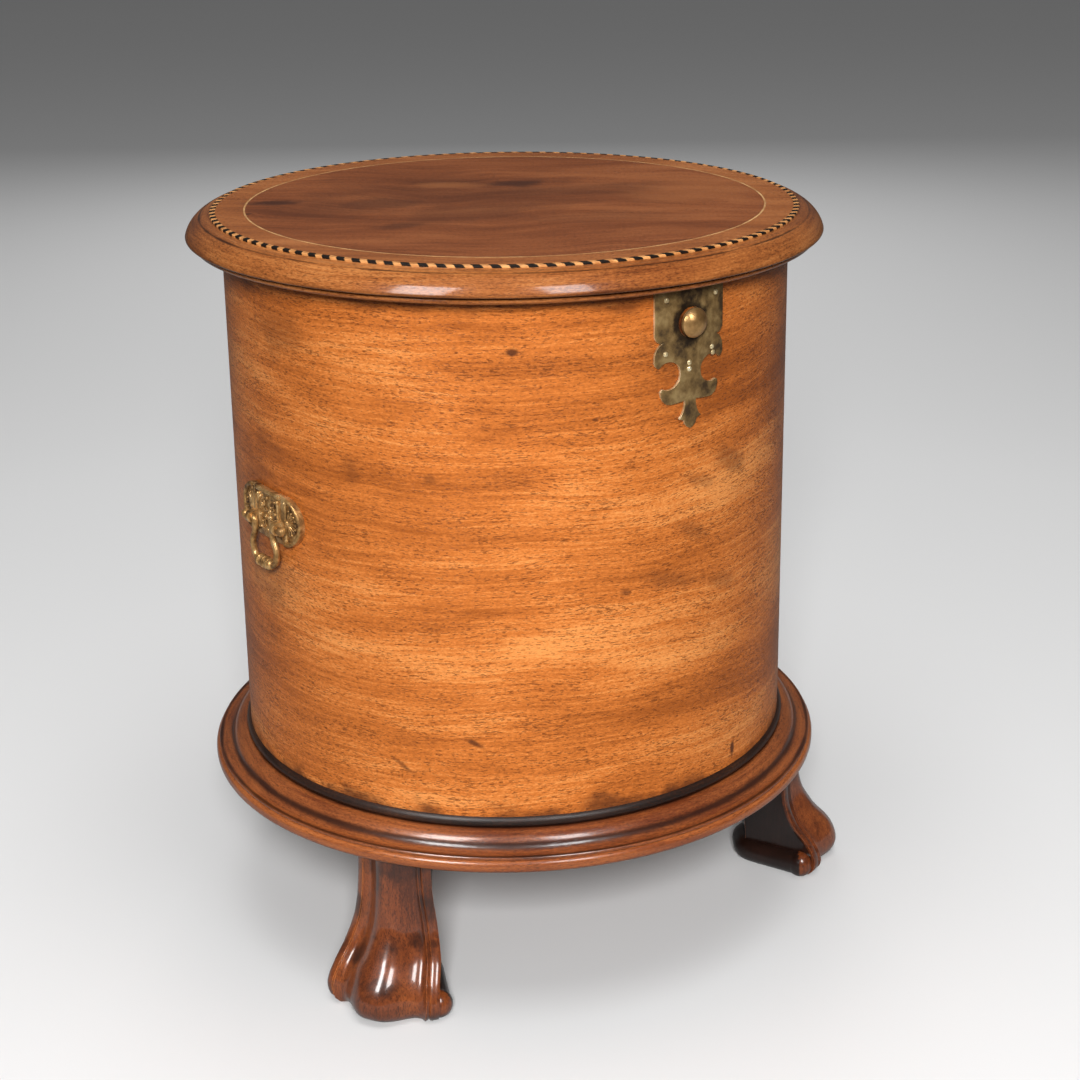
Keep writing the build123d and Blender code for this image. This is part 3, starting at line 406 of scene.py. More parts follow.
def dull_metal(name, metallic, roughness, bloom_scale, detail, dark, light):
    """Metal with a cloudy bloom between two tones."""
    material, tree = start_finish(name, Metallic=metallic, Roughness=roughness)
    bloom = node(tree, "TexNoise", {"Vector": grain_flat(tree), "Scale": bloom_scale,
                                    "Detail": detail})
    return surface(material, node(tree, "ValToRGB", {"Fac": bloom}, ((0.3, dark), (0.7, light))))


oak_tones = ("#7d5a36", "#977046", "#ab8455")
oak_finish = plain_wood("plain_oak", (0, 0, 0), *oak_tones)
oak_cross_finish = plain_wood("plain_oak_cross", (0, 0, 90), *oak_tones)
lid_under_finish = plain_wood("lid_underside", view_grain, "#6b3a1e", "#84502c", "#996339")
zinc_finish = dull_metal("dull_zinc", 0.9, 0.5, 26.0, 6.0, "#7d8184", "#a9adae")
steel_finish = dull_metal("dark_steel", 1.0, 0.42, 180.0, 4.0, "#4c4a48", "#7f7c78")

# %% [markdown]
# Brass browns where no hand touches it and shines where hands and cloths rub. So
# there are five finishes from one function: aged brass for the hidden fittings, a
# greener patina for the lock plate, darkest in a ring round the button where no cloth
# gets in, warmer tones for the handles and the button, and rubbed brass for pins and
# for the narrow bevels of edges, which catch the light. Patina isn't metal, so the
# browner the brass, the less metallic its shader.

# %% Brass finishes
def brass(name, dark, middle, light, roughness, spots=90.0, metallic=0.85, corner=None):
    """Brass with blotches of patina in three tones, darkest in a ring round corner."""
    material, tree = start_finish(name, Metallic=metallic)
    place = grain_flat(tree)
    blotch = node(tree, "TexNoise", {"Vector": place, "Scale": spots, "Detail": 5.0,
                                     "Roughness": 0.6})
    colour = node(tree, "ValToRGB", {"Fac": blotch}, ((0.34, dark), (0.5, middle), (0.66, light)))
    if corner:
        away = node(tree, "VectorMath", {0: place, 1: corner}, operation="DISTANCE")
        near = node(tree, "Math", {0: blotch, 1: 0.02, 2: away}, operation="MULTIPLY_ADD")
        near = node(tree, "MapRange", {"Value": near, "From Min": 0.027, "From Max": 0.021,
                    "To Max": 0.85}, interpolation_type="SMOOTHSTEP")
        colour = node(tree, "Mix", {0: near, 6: colour, 7: srgb("#1e140c")}, data_type="RGBA")
    dull = node(tree, "MapRange", {"Value": blotch, "From Min": 0.35, "From Max": 0.65,
                "To Min": roughness + 0.15, "To Max": roughness - 0.08})
    feed(tree.nodes["Principled BSDF"], "Roughness", dull)
    pits = node(tree, "TexNoise", {"Vector": place, "Scale": 420.0, "Detail": 3.0})
    return surface(material, colour, pits, 0.3, sunk=False)


button_height = 481.0
aged_brass = brass("aged_brass", "#4a3d26", "#7d6a45", "#a48c5e", 0.42)
plate_brass = brass("patinated_plate_brass", "#4a3824", "#84683f", "#a88c5c", 0.44, 90.0, 0.5,
                    (0, -205 * MM, button_height * MM))
rubbed_brass = brass("rubbed_brass", "#9a8058", "#dcc696", "#fff0c8", 0.26, 90.0, 0.6)
handle_brass = brass("handle_brass", "#5a3e26", "#b88c54", "#e6be84", 0.32, 120.0, 0.65)
button_brass = brass("button_brass", "#8c683c", "#c89c64", "#e6be88", 0.28, 50.0, 0.75)

# %% [markdown]
# The feet are carved from solid blocks and polished many times. Their raised edges
# are rubbed back to bare orange wood. Their flanks and the shoe behind its balls are
# near black, as painted shade. Grain runs up the foot, so the pattern is turned to stand on end.

# %% Finishes of the feet
def foot_finish(name, dark, middle, light, roughness, shade):
    """Carved mahogany. shade says how dark the patches of grime are."""
    material, tree = start_finish(name, Roughness=roughness, Coat_Weight=0.9,
                                  Coat_Roughness=0.08)
    grain = grain_flat(tree, (0, 90, 0))
    colour = figure(tree, grain, dark, middle, light, "#220e08", 0.6)[0]
    cloud = node(tree, "TexNoise", {"Vector": grain, "Scale": 45.0, "Detail": 5.0})
    grime = node(tree, "MapRange", {"Value": cloud, "From Min": 0.5, "From Max": 0.68,
                 "To Max": shade}, interpolation_type="SMOOTHSTEP")
    colour = node(tree, "Mix", {0: grime, 6: colour, 7: srgb("#1e0d08")}, data_type="RGBA")
    return surface(material, colour, cloud, 0.3, 0.4, sunk=False)


carved_finish = foot_finish("carved_mahogany", "#4e2410", "#74391a", "#8f4c24", 0.28, 0.75)
# A near-black finish that paints shade on the flanks and the shoe.
shadow_finish = foot_finish("shade_painted_mahogany", "#170c08", "#231410", "#33201a", 0.36, 0.5)
worn_finish = foot_finish("worn_mahogany_edge", "#8c4722", "#b0622f", "#c87c44", 0.28, 0.3)

# %% [markdown]
# Every piece goes through the same few steps. It is picked alone, opened in edit
# mode with all of it selected, and left with its faces turned outwards. Its modifiers
# are applied, and its place and turn go into its mesh. At the end it gets its name,
# its finish, the body that it rides on and the CAD nodes that it stands for. Each
# step is a helper, so that no piece misses one.

# %% Helpers for any piece
def placed(name, data):
    """A new object in the scene that shows this data."""
    made = bpy.data.objects.new(name, data)
    bpy.context.scene.collection.objects.link(made)
    return made


def coat(piece, *materials):
    for material in materials:
        piece.data.materials.append(material)


def deselect():
    bpy.ops.object.select_all(action="DESELECT")


def pick(*pieces):
    """Selects these pieces and no others. The first one is active."""
    deselect()
    for piece in pieces:
        piece.select_set(True)
    bpy.context.view_layer.objects.active = pieces[0]


def edit(piece):
    """Opens this piece alone in edit mode, with all of it selected."""
    pick(piece)
    bpy.ops.object.mode_set(mode="EDIT")
    bpy.ops.mesh.select_all(action="SELECT")


def leave_edit():
    """Turns every face outwards and leaves edit mode."""
    bpy.ops.mesh.select_all(action="SELECT")
    bpy.ops.mesh.normals_make_consistent(inside=False)
    bpy.ops.object.mode_set(mode="OBJECT")


def apply_modifiers(piece):
    pick(piece)
    for modifier in list(piece.modifiers):
        bpy.ops.object.modifier_apply(modifier=modifier.name)


def bevel(piece, width, segments=2, edge_material=-1, angle=32):
    """Rounds the sharp edges, width in mm. Their faces can take another material."""
    rounding = piece.modifiers.new("rounding", "BEVEL")
    rounding.width = width * MM
    rounding.segments = segments
    rounding.limit_method = "ANGLE"
    rounding.angle_limit = radians(angle)
    rounding.material = edge_material
    apply_modifiers(piece)


def subtract(piece, cutter):
    """Takes the cutter's shape out of a piece, and deletes the cutter."""
    hole = piece.modifiers.new("hole", "BOOLEAN")
    hole.operation = "DIFFERENCE"
    hole.object = cutter
    apply_modifiers(piece)
    bpy.data.objects.remove(cutter)


def settle(piece):
    """Moves the object's place, turn and size into its mesh."""
    pick(piece)
    bpy.ops.object.transform_apply(location=True, rotation=True, scale=True)


def joined(pieces):
    """Joins pieces into the first one."""
    pick(*pieces)
    bpy.ops.object.join()
    return bpy.context.object


def complete(piece, name, finish, body, slot, *replaced, smooth=38):
    """Ends a piece: it is settled, smoothed, finished, and rides on its body."""
    piece.name = name
    piece.data.name = name
    settle(piece)
    bpy.ops.object.shade_smooth_by_angle(angle=radians(smooth))
    if finish:
        coat(piece, finish)
    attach(piece, body)
    if replaced:
        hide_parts(*replaced)
    print(name, len(piece.data.polygons), "faces")
    return piece


# %% [markdown]
# Most of the case is turned, so one helper makes every ring. It adds a circle, and
# then extrudes and scales its edge from one corner of the profile to the next, as
# one would by hand. Others write the arcs of a profile as short steps, through a
# point or with a rise, and one cuts a recess with a box, as a chisel would.

# %% Turning helpers
def through(start, middle, end, steps=8):
    """Points of the arc after start that passes through middle to end."""
    a, b, c = complex(*start), complex(*middle), complex(*end)
    w = (c - a) / (b - a)
    centre = a - (a - b) * (w - abs(w) ** 2) / (2j * w.imag)
    half_turn = phase((b - centre) / (a - centre))
    whole = phase((c - centre) / (a - centre)) % (2 * pi)
    sweep = whole if half_turn > 0 else whole - 2 * pi
    points = [centre + (a - centre) * rect(1, sweep * k / steps) for k in range(1, steps + 1)]
    return [(point.real, point.imag) for point in points]


def arc(start, end, rise, steps=8):
    """Points of an arc after start, up to end. rise is its height, + to the left."""
    a, b = complex(*start), complex(*end)
    crown = (a + b) / 2 + 1j * rise * (b - a) / abs(b - a)
    return through(start, (crown.real, crown.imag), end, steps)


def profile(*corners):
    """A profile's (radius, height) corners. One with a rise, and perhaps steps, ends an arc."""
    outline = []
    for corner in corners:
        outline += arc(outline[-1], corner[:2], *corner[2:]) if corner[2:] else [corner]
    return outline


def turned(outline, steps=256):
    """A closed ring turned about Z from (radius, height) corners in mm."""
    deselect()
    radius, height = outline[0]
    bpy.ops.mesh.primitive_circle_add(vertices=steps, radius=radius * MM,
                                      location=(0, 0, height * MM))
    piece = bpy.context.object
    edit(piece)
    for next_radius, next_height in outline[1:] + outline[:1]:
        bpy.ops.mesh.extrude_edges_move(
            TRANSFORM_OT_translate={"value": (0, 0, (next_height - height) * MM)})
        factor = next_radius / radius
        bpy.ops.transform.resize(value=(factor, factor, 1))
        radius, height = next_radius, next_height
    bpy.ops.mesh.select_all(action="SELECT")
    bpy.ops.mesh.remove_doubles(threshold=0.002 * MM)
    bpy.ops.mesh.delete_loose()
    leave_edit()
    return piece


def cut(piece, low, high):
    """Takes a box out of a piece. low and high are its corners in mm."""
    middle = [(a + b) / 2 * MM for a, b in zip(low, high)]
    deselect()
    bpy.ops.mesh.primitive_cube_add(size=1, location=middle)
    cutter = bpy.context.object
    cutter.scale = [(b - a) * MM for a, b in zip(low, high)]
    subtract(piece, cutter)


# %% [markdown]
# The case stands still: a base board with a rounded edge, the plinth moulding with
# its hollow and swell, the black bead over the joint, and the drum's wall. The
# wall has recesses at its top edge for the latch case and for the hinge leaf,
# which show when the lid is open. What lies against the wall keeps 0.1 mm off it.

# %% The case
seat_radius = 203.1
axis = 0.001
base_outline = profile((axis, 115.0), (226.4, 115.0), (230.0, 118.6, -1.05), (230.0, 120.4),
                       (226.4, 124.0, -1.05), (axis, 124.0))
complete(turned(base_outline), "base_board_turned", base_finish, "case", "mahogany",
         "base_board")
plinth_outline = profile(
    (seat_radius, 124.0), (227.2, 124.0), (227.6, 124.5), (227.6, 125.7), (227.2, 126.2),
    (225.4, 126.2), (216.5, 129.46, 1.6), (205.5, 137.0, -2.2, 12), (seat_radius, 137.0))
complete(turned(plinth_outline), "plinth_moulding_turned", plinth_finish, "case", "mahogany",
         "plinth_moulding")
bead_outline = profile((seat_radius, 137.0), (204.3, 137.0), (206.0, 139.8, -0.5, 4),
                       (seat_radius, 144.0, -0.6, 6))
complete(turned(bead_outline), "plinth_bead_turned", bead_finish, "case", "ebonised_wood",
         "plinth_bead")
liner_outline = profile(
    (axis, 136.0), (186.7, 136.0), (186.7, 448.0), (182.7, 448.0, -1.99, 14),
    (185.8, 446.2, -0.9, 8), (185.8, 136.9), (axis, 136.9))
complete(turned(liner_outline), "zinc_liner_rolled", zinc_finish, "case", "zinc", "liner")
wall = turned([(203.0, 124.0), (203.0, 507.0), (202.5, 507.5), (187.5, 507.5), (187.0, 507.0),
               (187.0, 124.0)])
cut(wall, (-16.1, -198.5, 461.4), (16.1, -170, 515))
cut(wall, (-30.1, 187.9, 505.85), (30.1, 215, 515))
complete(wall, "drum_wall_veneered", drum_finish, "case", "mahogany", "drum_shell", smooth=30)

# %% [markdown]
# The lid's edge is the richest moulding: a small bead, a dark quirk, and a broad
# ovolo that catches the long highlights. The rope banding stands a little proud of
# it and shows its side, so it gets a ring of its own with a softened corner. The
# hinge leaf is let into the back of the moulding, so the same recess is cut there.

# %% The lid's edge
lid_edge = turned(profile(
    (206.1, 507.8), (220.5, 507.8), (220.5, 511.8, -2.4), (220.5, 512.9), (227.0, 512.9),
    (228.0, 514.0, -0.3, 4), (215.6, 527.4, -2.2, 20), (210.45, 528.5, 0.2, 4), (206.1, 528.5)))
cut(lid_edge, (-30.1, 187.9, 500), (30.1, 211.4, 511.4))
complete(lid_edge, "lid_moulding_turned", lid_edge_finish, "lid", "mahogany", "lid_moulding")
rope_outline = [(206.2, 528.5), (210.4, 528.5), (210.4, 529.5), (209.9, 530.0), (206.2, 530.0)]
complete(turned(rope_outline), "rope_banding", rope_finish, "lid", "light_inlay",
         "lid_rope_banding")

# %% [markdown]
# Each foot is a wedge of wood, carved on its face: a lobe swells down the middle to
# a rounded toe, with a hollow flute and a sharp ridge at each side, and beyond the
# ridge a hollow band frames the flat flank. We draw half the outline at eight
# heights, as a carver would with templates, and blend between them.

# %% Templates of the foot
foot_height = 115.0
face_steps = 24
flank_step = face_steps + 7
foot_templates = (
    # share of the height, reach of the lobe, half width of the ridge, depth of the flute
    (0.0, 245.0, 33.0, 14.0),
    (0.05, 252.0, 35.5, 17.0),
    (0.13, 254.0, 36.5, 19.0),
    (0.23, 249.0, 34.0, 19.5),
    (0.35, 236.5, 30.0, 17.5),
    (0.52, 225.5, 25.0, 13.0),
    (0.75, 221.5, 21.5, 9.5),
    (1.0, 220.0, 20.5, 8.0),
)


def blend_templates(share):
    """Reach and half widths at any height, on a smooth curve through the templates."""
    table = foot_templates
    i = max(k for k in range(len(table) - 1) if table[k][0] <= share)
    a, b = table[i], table[i + 1]
    before, after = table[max(i - 1, 0)], table[min(i + 2, len(table) - 1)]
    span = b[0] - a[0]
    t = (share - a[0]) / span
    values = []
    for k in (1, 2, 3):
        rise_a = (b[k] - before[k]) / (b[0] - before[0]) * span
        rise_b = (after[k] - a[k]) / (after[0] - a[0]) * span
        values.append((2 * t**3 - 3 * t**2 + 1) * a[k] + (t**3 - 2 * t**2 + t) * rise_a
                      + (3 * t**2 - 2 * t**3) * b[k] + (t**3 - t**2) * rise_b)
    return values


def straight(start, end, steps):
    return [(start[0] + (end[0] - start[0]) * k / steps,
             start[1] + (end[1] - start[1]) * k / steps) for k in range(1, steps + 1)]


# Offsets from the ridge's line, in mm across and back: its top, its outer foot, the
# start and end of the hollow band, and the top of the flank.
ridge_and_band = ((0, -2.0), (1.3, 1.4), (2.2, 0.5), (7.5, 4.0), (3.5, 8.0))
valley_share, ridge_rise, back_half, back_line = 0.86, 2.0, 11.5, 181.0


def foot_outline(share):
    """The foot's outline at this share of its height, in mm, seen from above."""
    lobe, ridge_half, flute = blend_templates(share)
    valley = valley_share * ridge_half
    half = []
    for step in range(face_steps):
        x = ridge_half * step / face_steps
        if x < valley:
            depth = flute * sin(pi / 2 * x / valley) ** 3.0
        else:
            depth = flute - ridge_rise * ((x - valley) / (ridge_half - valley)) ** 1.6
        half.append((x, depth - lobe))
    ridge_top, ridge_foot, band_start, band_end, flank = [
        (ridge_half + across, flute + back - lobe) for across, back in ridge_and_band]
    half += [ridge_top, ridge_foot, band_start] + arc(band_start, band_end, -0.7, 4)
    back = back_line - 16.0 * share**2
    half += straight(band_end, flank, 2) + straight(flank, (back_half, -back), 5)
    half += straight((back_half, -back), (0, -back), 2)
    return half + [(-x, y) for x, y in reversed(half[1:-1])]


print("the foot's outline has", len(foot_outline(0.0)), "corners")

# %% [markdown]
# The block starts as a flat outline on the floor and is extruded up in even steps.
# Each corner keeps its place in the outline, so every ring can then be set to its
# template. A face's place decides its finish too: carved wood on the face and
# near-black painted shade on the flanks. Worn edges come with the bevels.

# %% Carve the block of a foot
foot_levels = 46
foot_finishes = (carved_finish, shadow_finish, worn_finish)
on_face, on_flank, on_edge = 0, 1, 2


def blank(outline):
    """A flat face with this outline in mm, made from a circle of as many corners."""
    deselect()
    bpy.ops.mesh.primitive_circle_add(vertices=len(outline), radius=1, fill_type="NGON")
    piece = bpy.context.object
    for vertex, (x, y) in zip(piece.data.vertices, outline):
        vertex.co = (x * MM, y * MM, 0)
    return piece


def carve_block():
    """The foot's block, its rings set to the templates and its faces sorted."""
    outline = foot_outline(0.0)
    block = blank(outline)
    steps = {(round(v.co.x, 6), round(v.co.y, 6)): v.index for v in block.data.vertices}
    edit(block)
    rise = foot_height * MM / foot_levels
    for level in range(foot_levels):
        bpy.ops.mesh.extrude_region_move(TRANSFORM_OT_translate={"value": (0, 0, rise)})
    bpy.ops.object.mode_set(mode="OBJECT")
    places = [steps[(round(v.co.x, 6), round(v.co.y, 6))] for v in block.data.vertices]
    coat(block, *foot_finishes)
    for face in block.data.polygons:
        first = min(places[v] for v in face.vertices)
        flank = flank_step <= first < len(outline) - flank_step or len(face.vertices) > 4
        # The flanks take the near-black finish, which is painted shade.
        face.material_index = on_flank if flank else on_face
    for vertex, step in zip(block.data.vertices, places):
        level = round(vertex.co.z / rise)
        x, y = foot_outline(level / foot_levels)[step]
        vertex.co = (x * MM, y * MM, level * rise)
    edit(block)
    leave_edit()
    return block


# %% [markdown]
# The foot rests on a shoe, a half-round bead that runs along both flanks and round
# the back, with a ball at each front end. Bent cylinders would leave seams, so the
# bead is one curve with a round section, made a mesh. It is joined with its two
# balls and cut flat where it meets the floor. One foot is carved and copied three
# times, and the copies differ only in turn.

# %% The shoe, and the three feet
shoe_radius, shoe_rest, ball_radius, ball_front = 9.0, 8.5, 10.0, -219.0


def tube(route, radius, resolution=8):
    """A round bar along a smooth curve through (x, y, z) corners in mm, as a mesh."""
    line = bpy.data.curves.new("bar", "CURVE")
    line.dimensions = "3D"
    line.bevel_depth = radius * MM
    line.bevel_resolution = resolution
    line.use_fill_caps = True
    spline = line.splines.new("NURBS")
    spline.points.add(len(route) - 1)
    for point, corner in zip(spline.points, route):
        point.co = (*[v * MM for v in corner], 1)
    spline.order_u = 3
    spline.use_endpoint_u = True
    spline.resolution_u = 6
    pick(placed("bar", line))
    bpy.ops.object.convert(target="MESH")
    return bpy.context.object


def shoe_bead():
    """The half-round bead with its ball noses, cut flat at the floor."""
    nose = (37.5, -221.0)
    route = [nose, (24.5, -201.0), (14.0, -184.8), (9.0, -back_line), (0, -back_line)]
    route += [(-x, y) for x, y in reversed(route[:-1])]
    pieces = [tube([(x, y, shoe_rest) for x, y in route], shoe_radius)]
    for side in (-1, 1):
        deselect()
        bpy.ops.mesh.primitive_uv_sphere_add(segments=32, ring_count=16,
                                             radius=ball_radius * MM,
                                             location=(side * nose[0] * MM, nose[1] * MM,
                                                       shoe_rest * MM))
        pieces.append(bpy.context.object)
    shoe = joined(pieces)
    edit(shoe)
    bpy.ops.mesh.bisect(plane_co=(0, 0, 0), plane_no=(0, 0, 1), use_fill=True, clear_inner=True)
    bpy.ops.object.mode_set(mode="OBJECT")
    return shoe


block = carve_block()
bevel(block, 0.7, 3, on_edge, 38)
shoe = shoe_bead()
coat(shoe, *foot_finishes)
for face in shoe.data.polygons:
    # The balls take the carved finish, the rest of the shoe the near-black painted shade.
    face.material_index = on_face if face.center.y < ball_front * MM else on_flank
block = joined([block, shoe])
for vertex in block.data.vertices:
    vertex.co.z = max(vertex.co.z, 0.0)
for foot_name, turn in (("front_left", -60.0), ("front_right", 54.0), ("rear", 177.0)):
    foot = placed("foot", block.data.copy())
    foot.rotation_euler.z = radians(turn)
    complete(foot, f"foot_{foot_name}_carved", None, "case", "carved_mahogany",
             f"foot_{foot_name}", smooth=50)
bpy.data.objects.remove(block)

# %% [markdown]
# The handles' brass has the right shape in the CAD already, with crisp edges. Real
# castings have none: filing and two centuries of rubbing round them. So we copy the
# CAD mesh, merge its loose triangles, melt the flat faces together and bevel every
# sharp edge, with rubbed brass on the bevels. The bails are round bars, so they need
# no bevel.

# %% Soften the castings
def softened(node_name, name, face_finish, edge_finish, body, slot, width):
    """A copy of a CAD node with rounded, rubbed edges. width is the bevel's, in mm."""
    piece = placed(name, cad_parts[node_name].data.copy())
    piece.data.materials.clear()
    coat(piece, face_finish, edge_finish)
    edit(piece)
    bpy.ops.mesh.remove_doubles(threshold=0.005 * MM)
    bpy.ops.mesh.customdata_custom_splitnormals_clear()
    bpy.ops.mesh.dissolve_limited(angle_limit=radians(1.5))
    bpy.ops.object.mode_set(mode="OBJECT")
    for face in piece.data.polygons:
        face.material_index = 0
    if width:
        bevel(piece, width, edge_material=1)
    return complete(piece, name, None, body, slot, node_name, smooth=45)


for side in ("left", "right"):
    softened(f"handle_{side}_plate", f"handle_{side}_plate_cast", handle_brass, rubbed_brass,
             "case", "aged_brass", 0.3)
    softened(f"handle_{side}_bail", f"handle_{side}_bail_cast", handle_brass, rubbed_brass,
             f"{side}_bail", "aged_brass", 0)

# %% [markdown]
# The spring behind the catch is a bowed strip of steel, which the button presses
# flat. A bowed mesh can't slide with a joint, so the spring is a copy of the CAD's
# strip with a mesh of its own.

# %% The latch spring
spring = softened("latch_spring", "latch_spring_bowed", steel_finish, steel_finish, "case",
                  "steel", 0)
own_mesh(spring)

# %% [markdown]
# The lock plate was sawn from sheet brass and filed: a square head, two notches, a
# pair of lobes, a waist, two wings and a leaf. We set half of its outline in mm,
# across and down from its top edge, and mirror it. The sheet is extruded, bored for
# the button, and bevelled while it is still flat, and only then cut into strips and
# bent round the drum, so that every edge stays even.

# %% The lock plate
plate_top = 507.5
plate_half = [(29.0, 0.0), (29.0, -33.0)]
for middle, end, steps in (
    # an arc's middle and end, and its steps, or a straight line's end alone
    ((27.6, -36.0), (22.5, -37.8), 8),
    ((26.8, -41.0), (29.0, -46.8), 8),
    (None, (29.0, -48.5), 1),
    ((28.1, -53.0), (25.5, -54.4), 4),
    ((8.5, -60.5), (22.5, -69.0), 14),
    ((24.5, -70.5), (24.5, -72.0), 4),
    ((21.6, -78.2), (15.2, -80.2), 6),
    ((9.8, -79.8), (4.65, -79.2), 4),
    ((5.8, -86.5), (9.3, -91.5), 6),
    (None, (5.6, -92.7), 1),
    ((3.7, -96.6), (0.0, -98.8), 4),
):
    plate_half += through(plate_half[-1], middle, end, steps) if middle else [end]
plate_outline = plate_half + [(-x, y) for x, y in reversed(plate_half[:-1])]
print("the lock plate has", len(plate_outline), "corners")

# %% [markdown]
# Sheet brass bends only where it has edges to bend along. So a flat piece is cut into
# upright strips, and then each corner moves from its place on a plane to the same
# place round the drum: its distance across becomes an angle.

# %% Bend the plate round the drum
plate_thickness, button_hole = 2.0, 10.25


def wrapped(piece, radius, centre_height, turn=0.0):
    """Bends a flat piece round the drum: x runs round it, y up and z outwards."""
    for vertex in piece.data.vertices:
        x, y, z = vertex.co
        angle = x / (radius * MM) + radians(turn)
        reach = radius * MM + z
        vertex.co = (reach * sin(angle), -reach * cos(angle), centre_height * MM + y)
    piece.data.update()
    edit(piece)
    leave_edit()


def strips(piece, reach, step):
    """Cuts a flat piece into upright strips so that it can bend."""
    edit(piece)
    x = -reach
    while x <= reach:
        bpy.ops.mesh.select_all(action="SELECT")
        bpy.ops.mesh.bisect(plane_co=(x * MM, 0, 0), plane_no=(1, 0, 0))
        x += step
    bpy.ops.object.mode_set(mode="OBJECT")


plate = blank(plate_outline)
edit(plate)
bpy.ops.mesh.extrude_region_move(TRANSFORM_OT_translate={"value": (0, 0, plate_thickness * MM)})
leave_edit()
deselect()
bpy.ops.mesh.primitive_cylinder_add(
    vertices=64, radius=button_hole * MM, depth=30 * MM,
    location=(0, (button_height - plate_top) * MM, 0))
subtract(plate, bpy.context.object)
coat(plate, plate_brass, rubbed_brass)
bevel(plate, 0.8, 3, 1, 50)
for face in plate.data.polygons:
    face.material_index = 0 if face.normal.z > 0.93 else 1
strips(plate, 27.0, 3.0)
wrapped(plate, seat_radius, plate_top)
complete(plate, "lock_plate_filed", None, "case", "aged_brass", "lock_plate", smooth=40)

# %% [markdown]
# The plate is held by small round-headed pins. Each is a turned dome, modelled once
# and copied to its place, with a mesh of its own, and bent round with the plate.

# %% Pins of the lock plate
dome = turned(profile((axis, 0.0), (1.9, 0.0), (1.9, 0.2), (axis, 1.35, -0.35)), 24)
pin_sink = 0.1
pin_places = ((-20.1, 9.6), (21.5, 10.1), (-20.7, 45.3), (18.6, 46.6), (19.6, 50.6),
              (-1.3, 53.8), (-1.2, 58.1))
pins = []
for across, drop in pin_places:
    pin = placed("pin", dome.data.copy())
    for vertex in pin.data.vertices:
        vertex.co += Vector((across, -drop, plate_thickness - pin_sink)) * MM
    pins.append(pin)
bpy.data.objects.remove(dome)
pins = joined(pins)
wrapped(pins, seat_radius, plate_top)
complete(pins, "lock_plate_pins_domed", rubbed_brass, "case", "aged_brass", "lock_plate_pins")

# %% [markdown]
# The handles' plates were cast with a relief: a half wheel of ribs with beads at
# each end, a thick rim round it, two pairs of columns, and scrollwork between them.
# All of it is round bars and balls that stand half out of the plate. We lay them out
# flat, in mm from the plate's middle, join them, and bend a copy of them round each
# side of the drum.

# %% Relief of the handles
handle_height, rim_centre, rim_radius, hub = 337.0, 20.5, 16.3, 23.6


def ball(x, y, z, radius):
    deselect()
    bpy.ops.mesh.primitive_uv_sphere_add(segments=20, ring_count=12, radius=radius * MM,
                                         location=(x * MM, y * MM, z * MM))
    settle(bpy.context.object)
    return bpy.context.object


def scroll(x, y, start, turns, reach=3.6):
    """A volute that winds inwards and ends in a ball."""
    route = []
    for step in range(13):
        angle = radians(start + turns * 360 * step / 12)
        radius = reach * (1 - 0.72 * step / 12)
        route.append((x + radius * cos(angle), y + radius * sin(angle), 3.1))
    return [tube(route, 0.75, 3), ball(route[-1][0], route[-1][1], 3.3, 1.1)]


def handle_relief():
    """The relief of one plate, flat: x across, y up, z out of the plate."""
    parts = []
    for side in (-1, 1):
        rim = [(side * (rim_centre + rim_radius * cos(radians(a))), rim_radius * sin(radians(a)),
                3.2) for a in range(-90, 91, 15)]
        parts.append(tube(rim, 1.65, 5))
        parts.append(ball(side * hub, 0, 2.6, 2.2))
        for rib in range(9):
            angle = radians(-75 + 150 * rib / 8)
            along = (side * cos(angle), sin(angle))
            inner, outer = [(side * hub + along[0] * r, along[1] * r, 2.8) for r in (2.0, 8.2)]
            parts.append(tube([inner, outer], 0.85, 3))
            parts.append(ball(side * hub + along[0] * 9.2, along[1] * 9.2, 3.0, 1.15))
        for across, height in ((12.9, 12.0), (21.6, 13.5)):
            column = [(side * across, end, 2.9) for end in (-height, height)]
            parts.append(tube(column, 1.2, 4))
            for end in (-height, height):
                parts.append(ball(side * across, end, 3.0, 1.7))
        for up in (-1, 1):
            turn = side * up
            parts += scroll(side * 5.6, up * 6.6, -90 * up, 1.25 * turn)
            parts += scroll(side * 2.6, up * 1.9, 90 + 90 * side, -1.0 * turn, 2.4)
            parts.append(ball(side * 9.6, up * 11.0, 3.0, 1.3))
            parts.append(ball(side * 9.6, up * 2.2, 3.0, 1.2))
    parts.append(tube([(-15.0, 16.0, 3.2), (0, 16.6, 3.2), (15.0, 16.0, 3.2)], 1.4, 4))
    parts += [ball(0, 11.6, 3.0, 1.6), ball(0, -11.6, 3.0, 1.6)]
    return joined(parts)


relief_pattern = handle_relief()
for side, turn in (("left", -90), ("right", 90)):
    relief = placed("relief", relief_pattern.data.copy())
    wrapped(relief, seat_radius, handle_height, turn)
    complete(relief, f"handle_{side}_relief", handle_brass, "case", "aged_brass", smooth=60)
bpy.data.objects.remove(relief_pattern)

# %% [markdown]
# The hand closes on a turned grip at the bottom of each bail: three fat beads, each
# with fine grooves. One profile is turned upright, laid across, and moved to where
# the bail's bar runs. A copy of it swings with each bail.

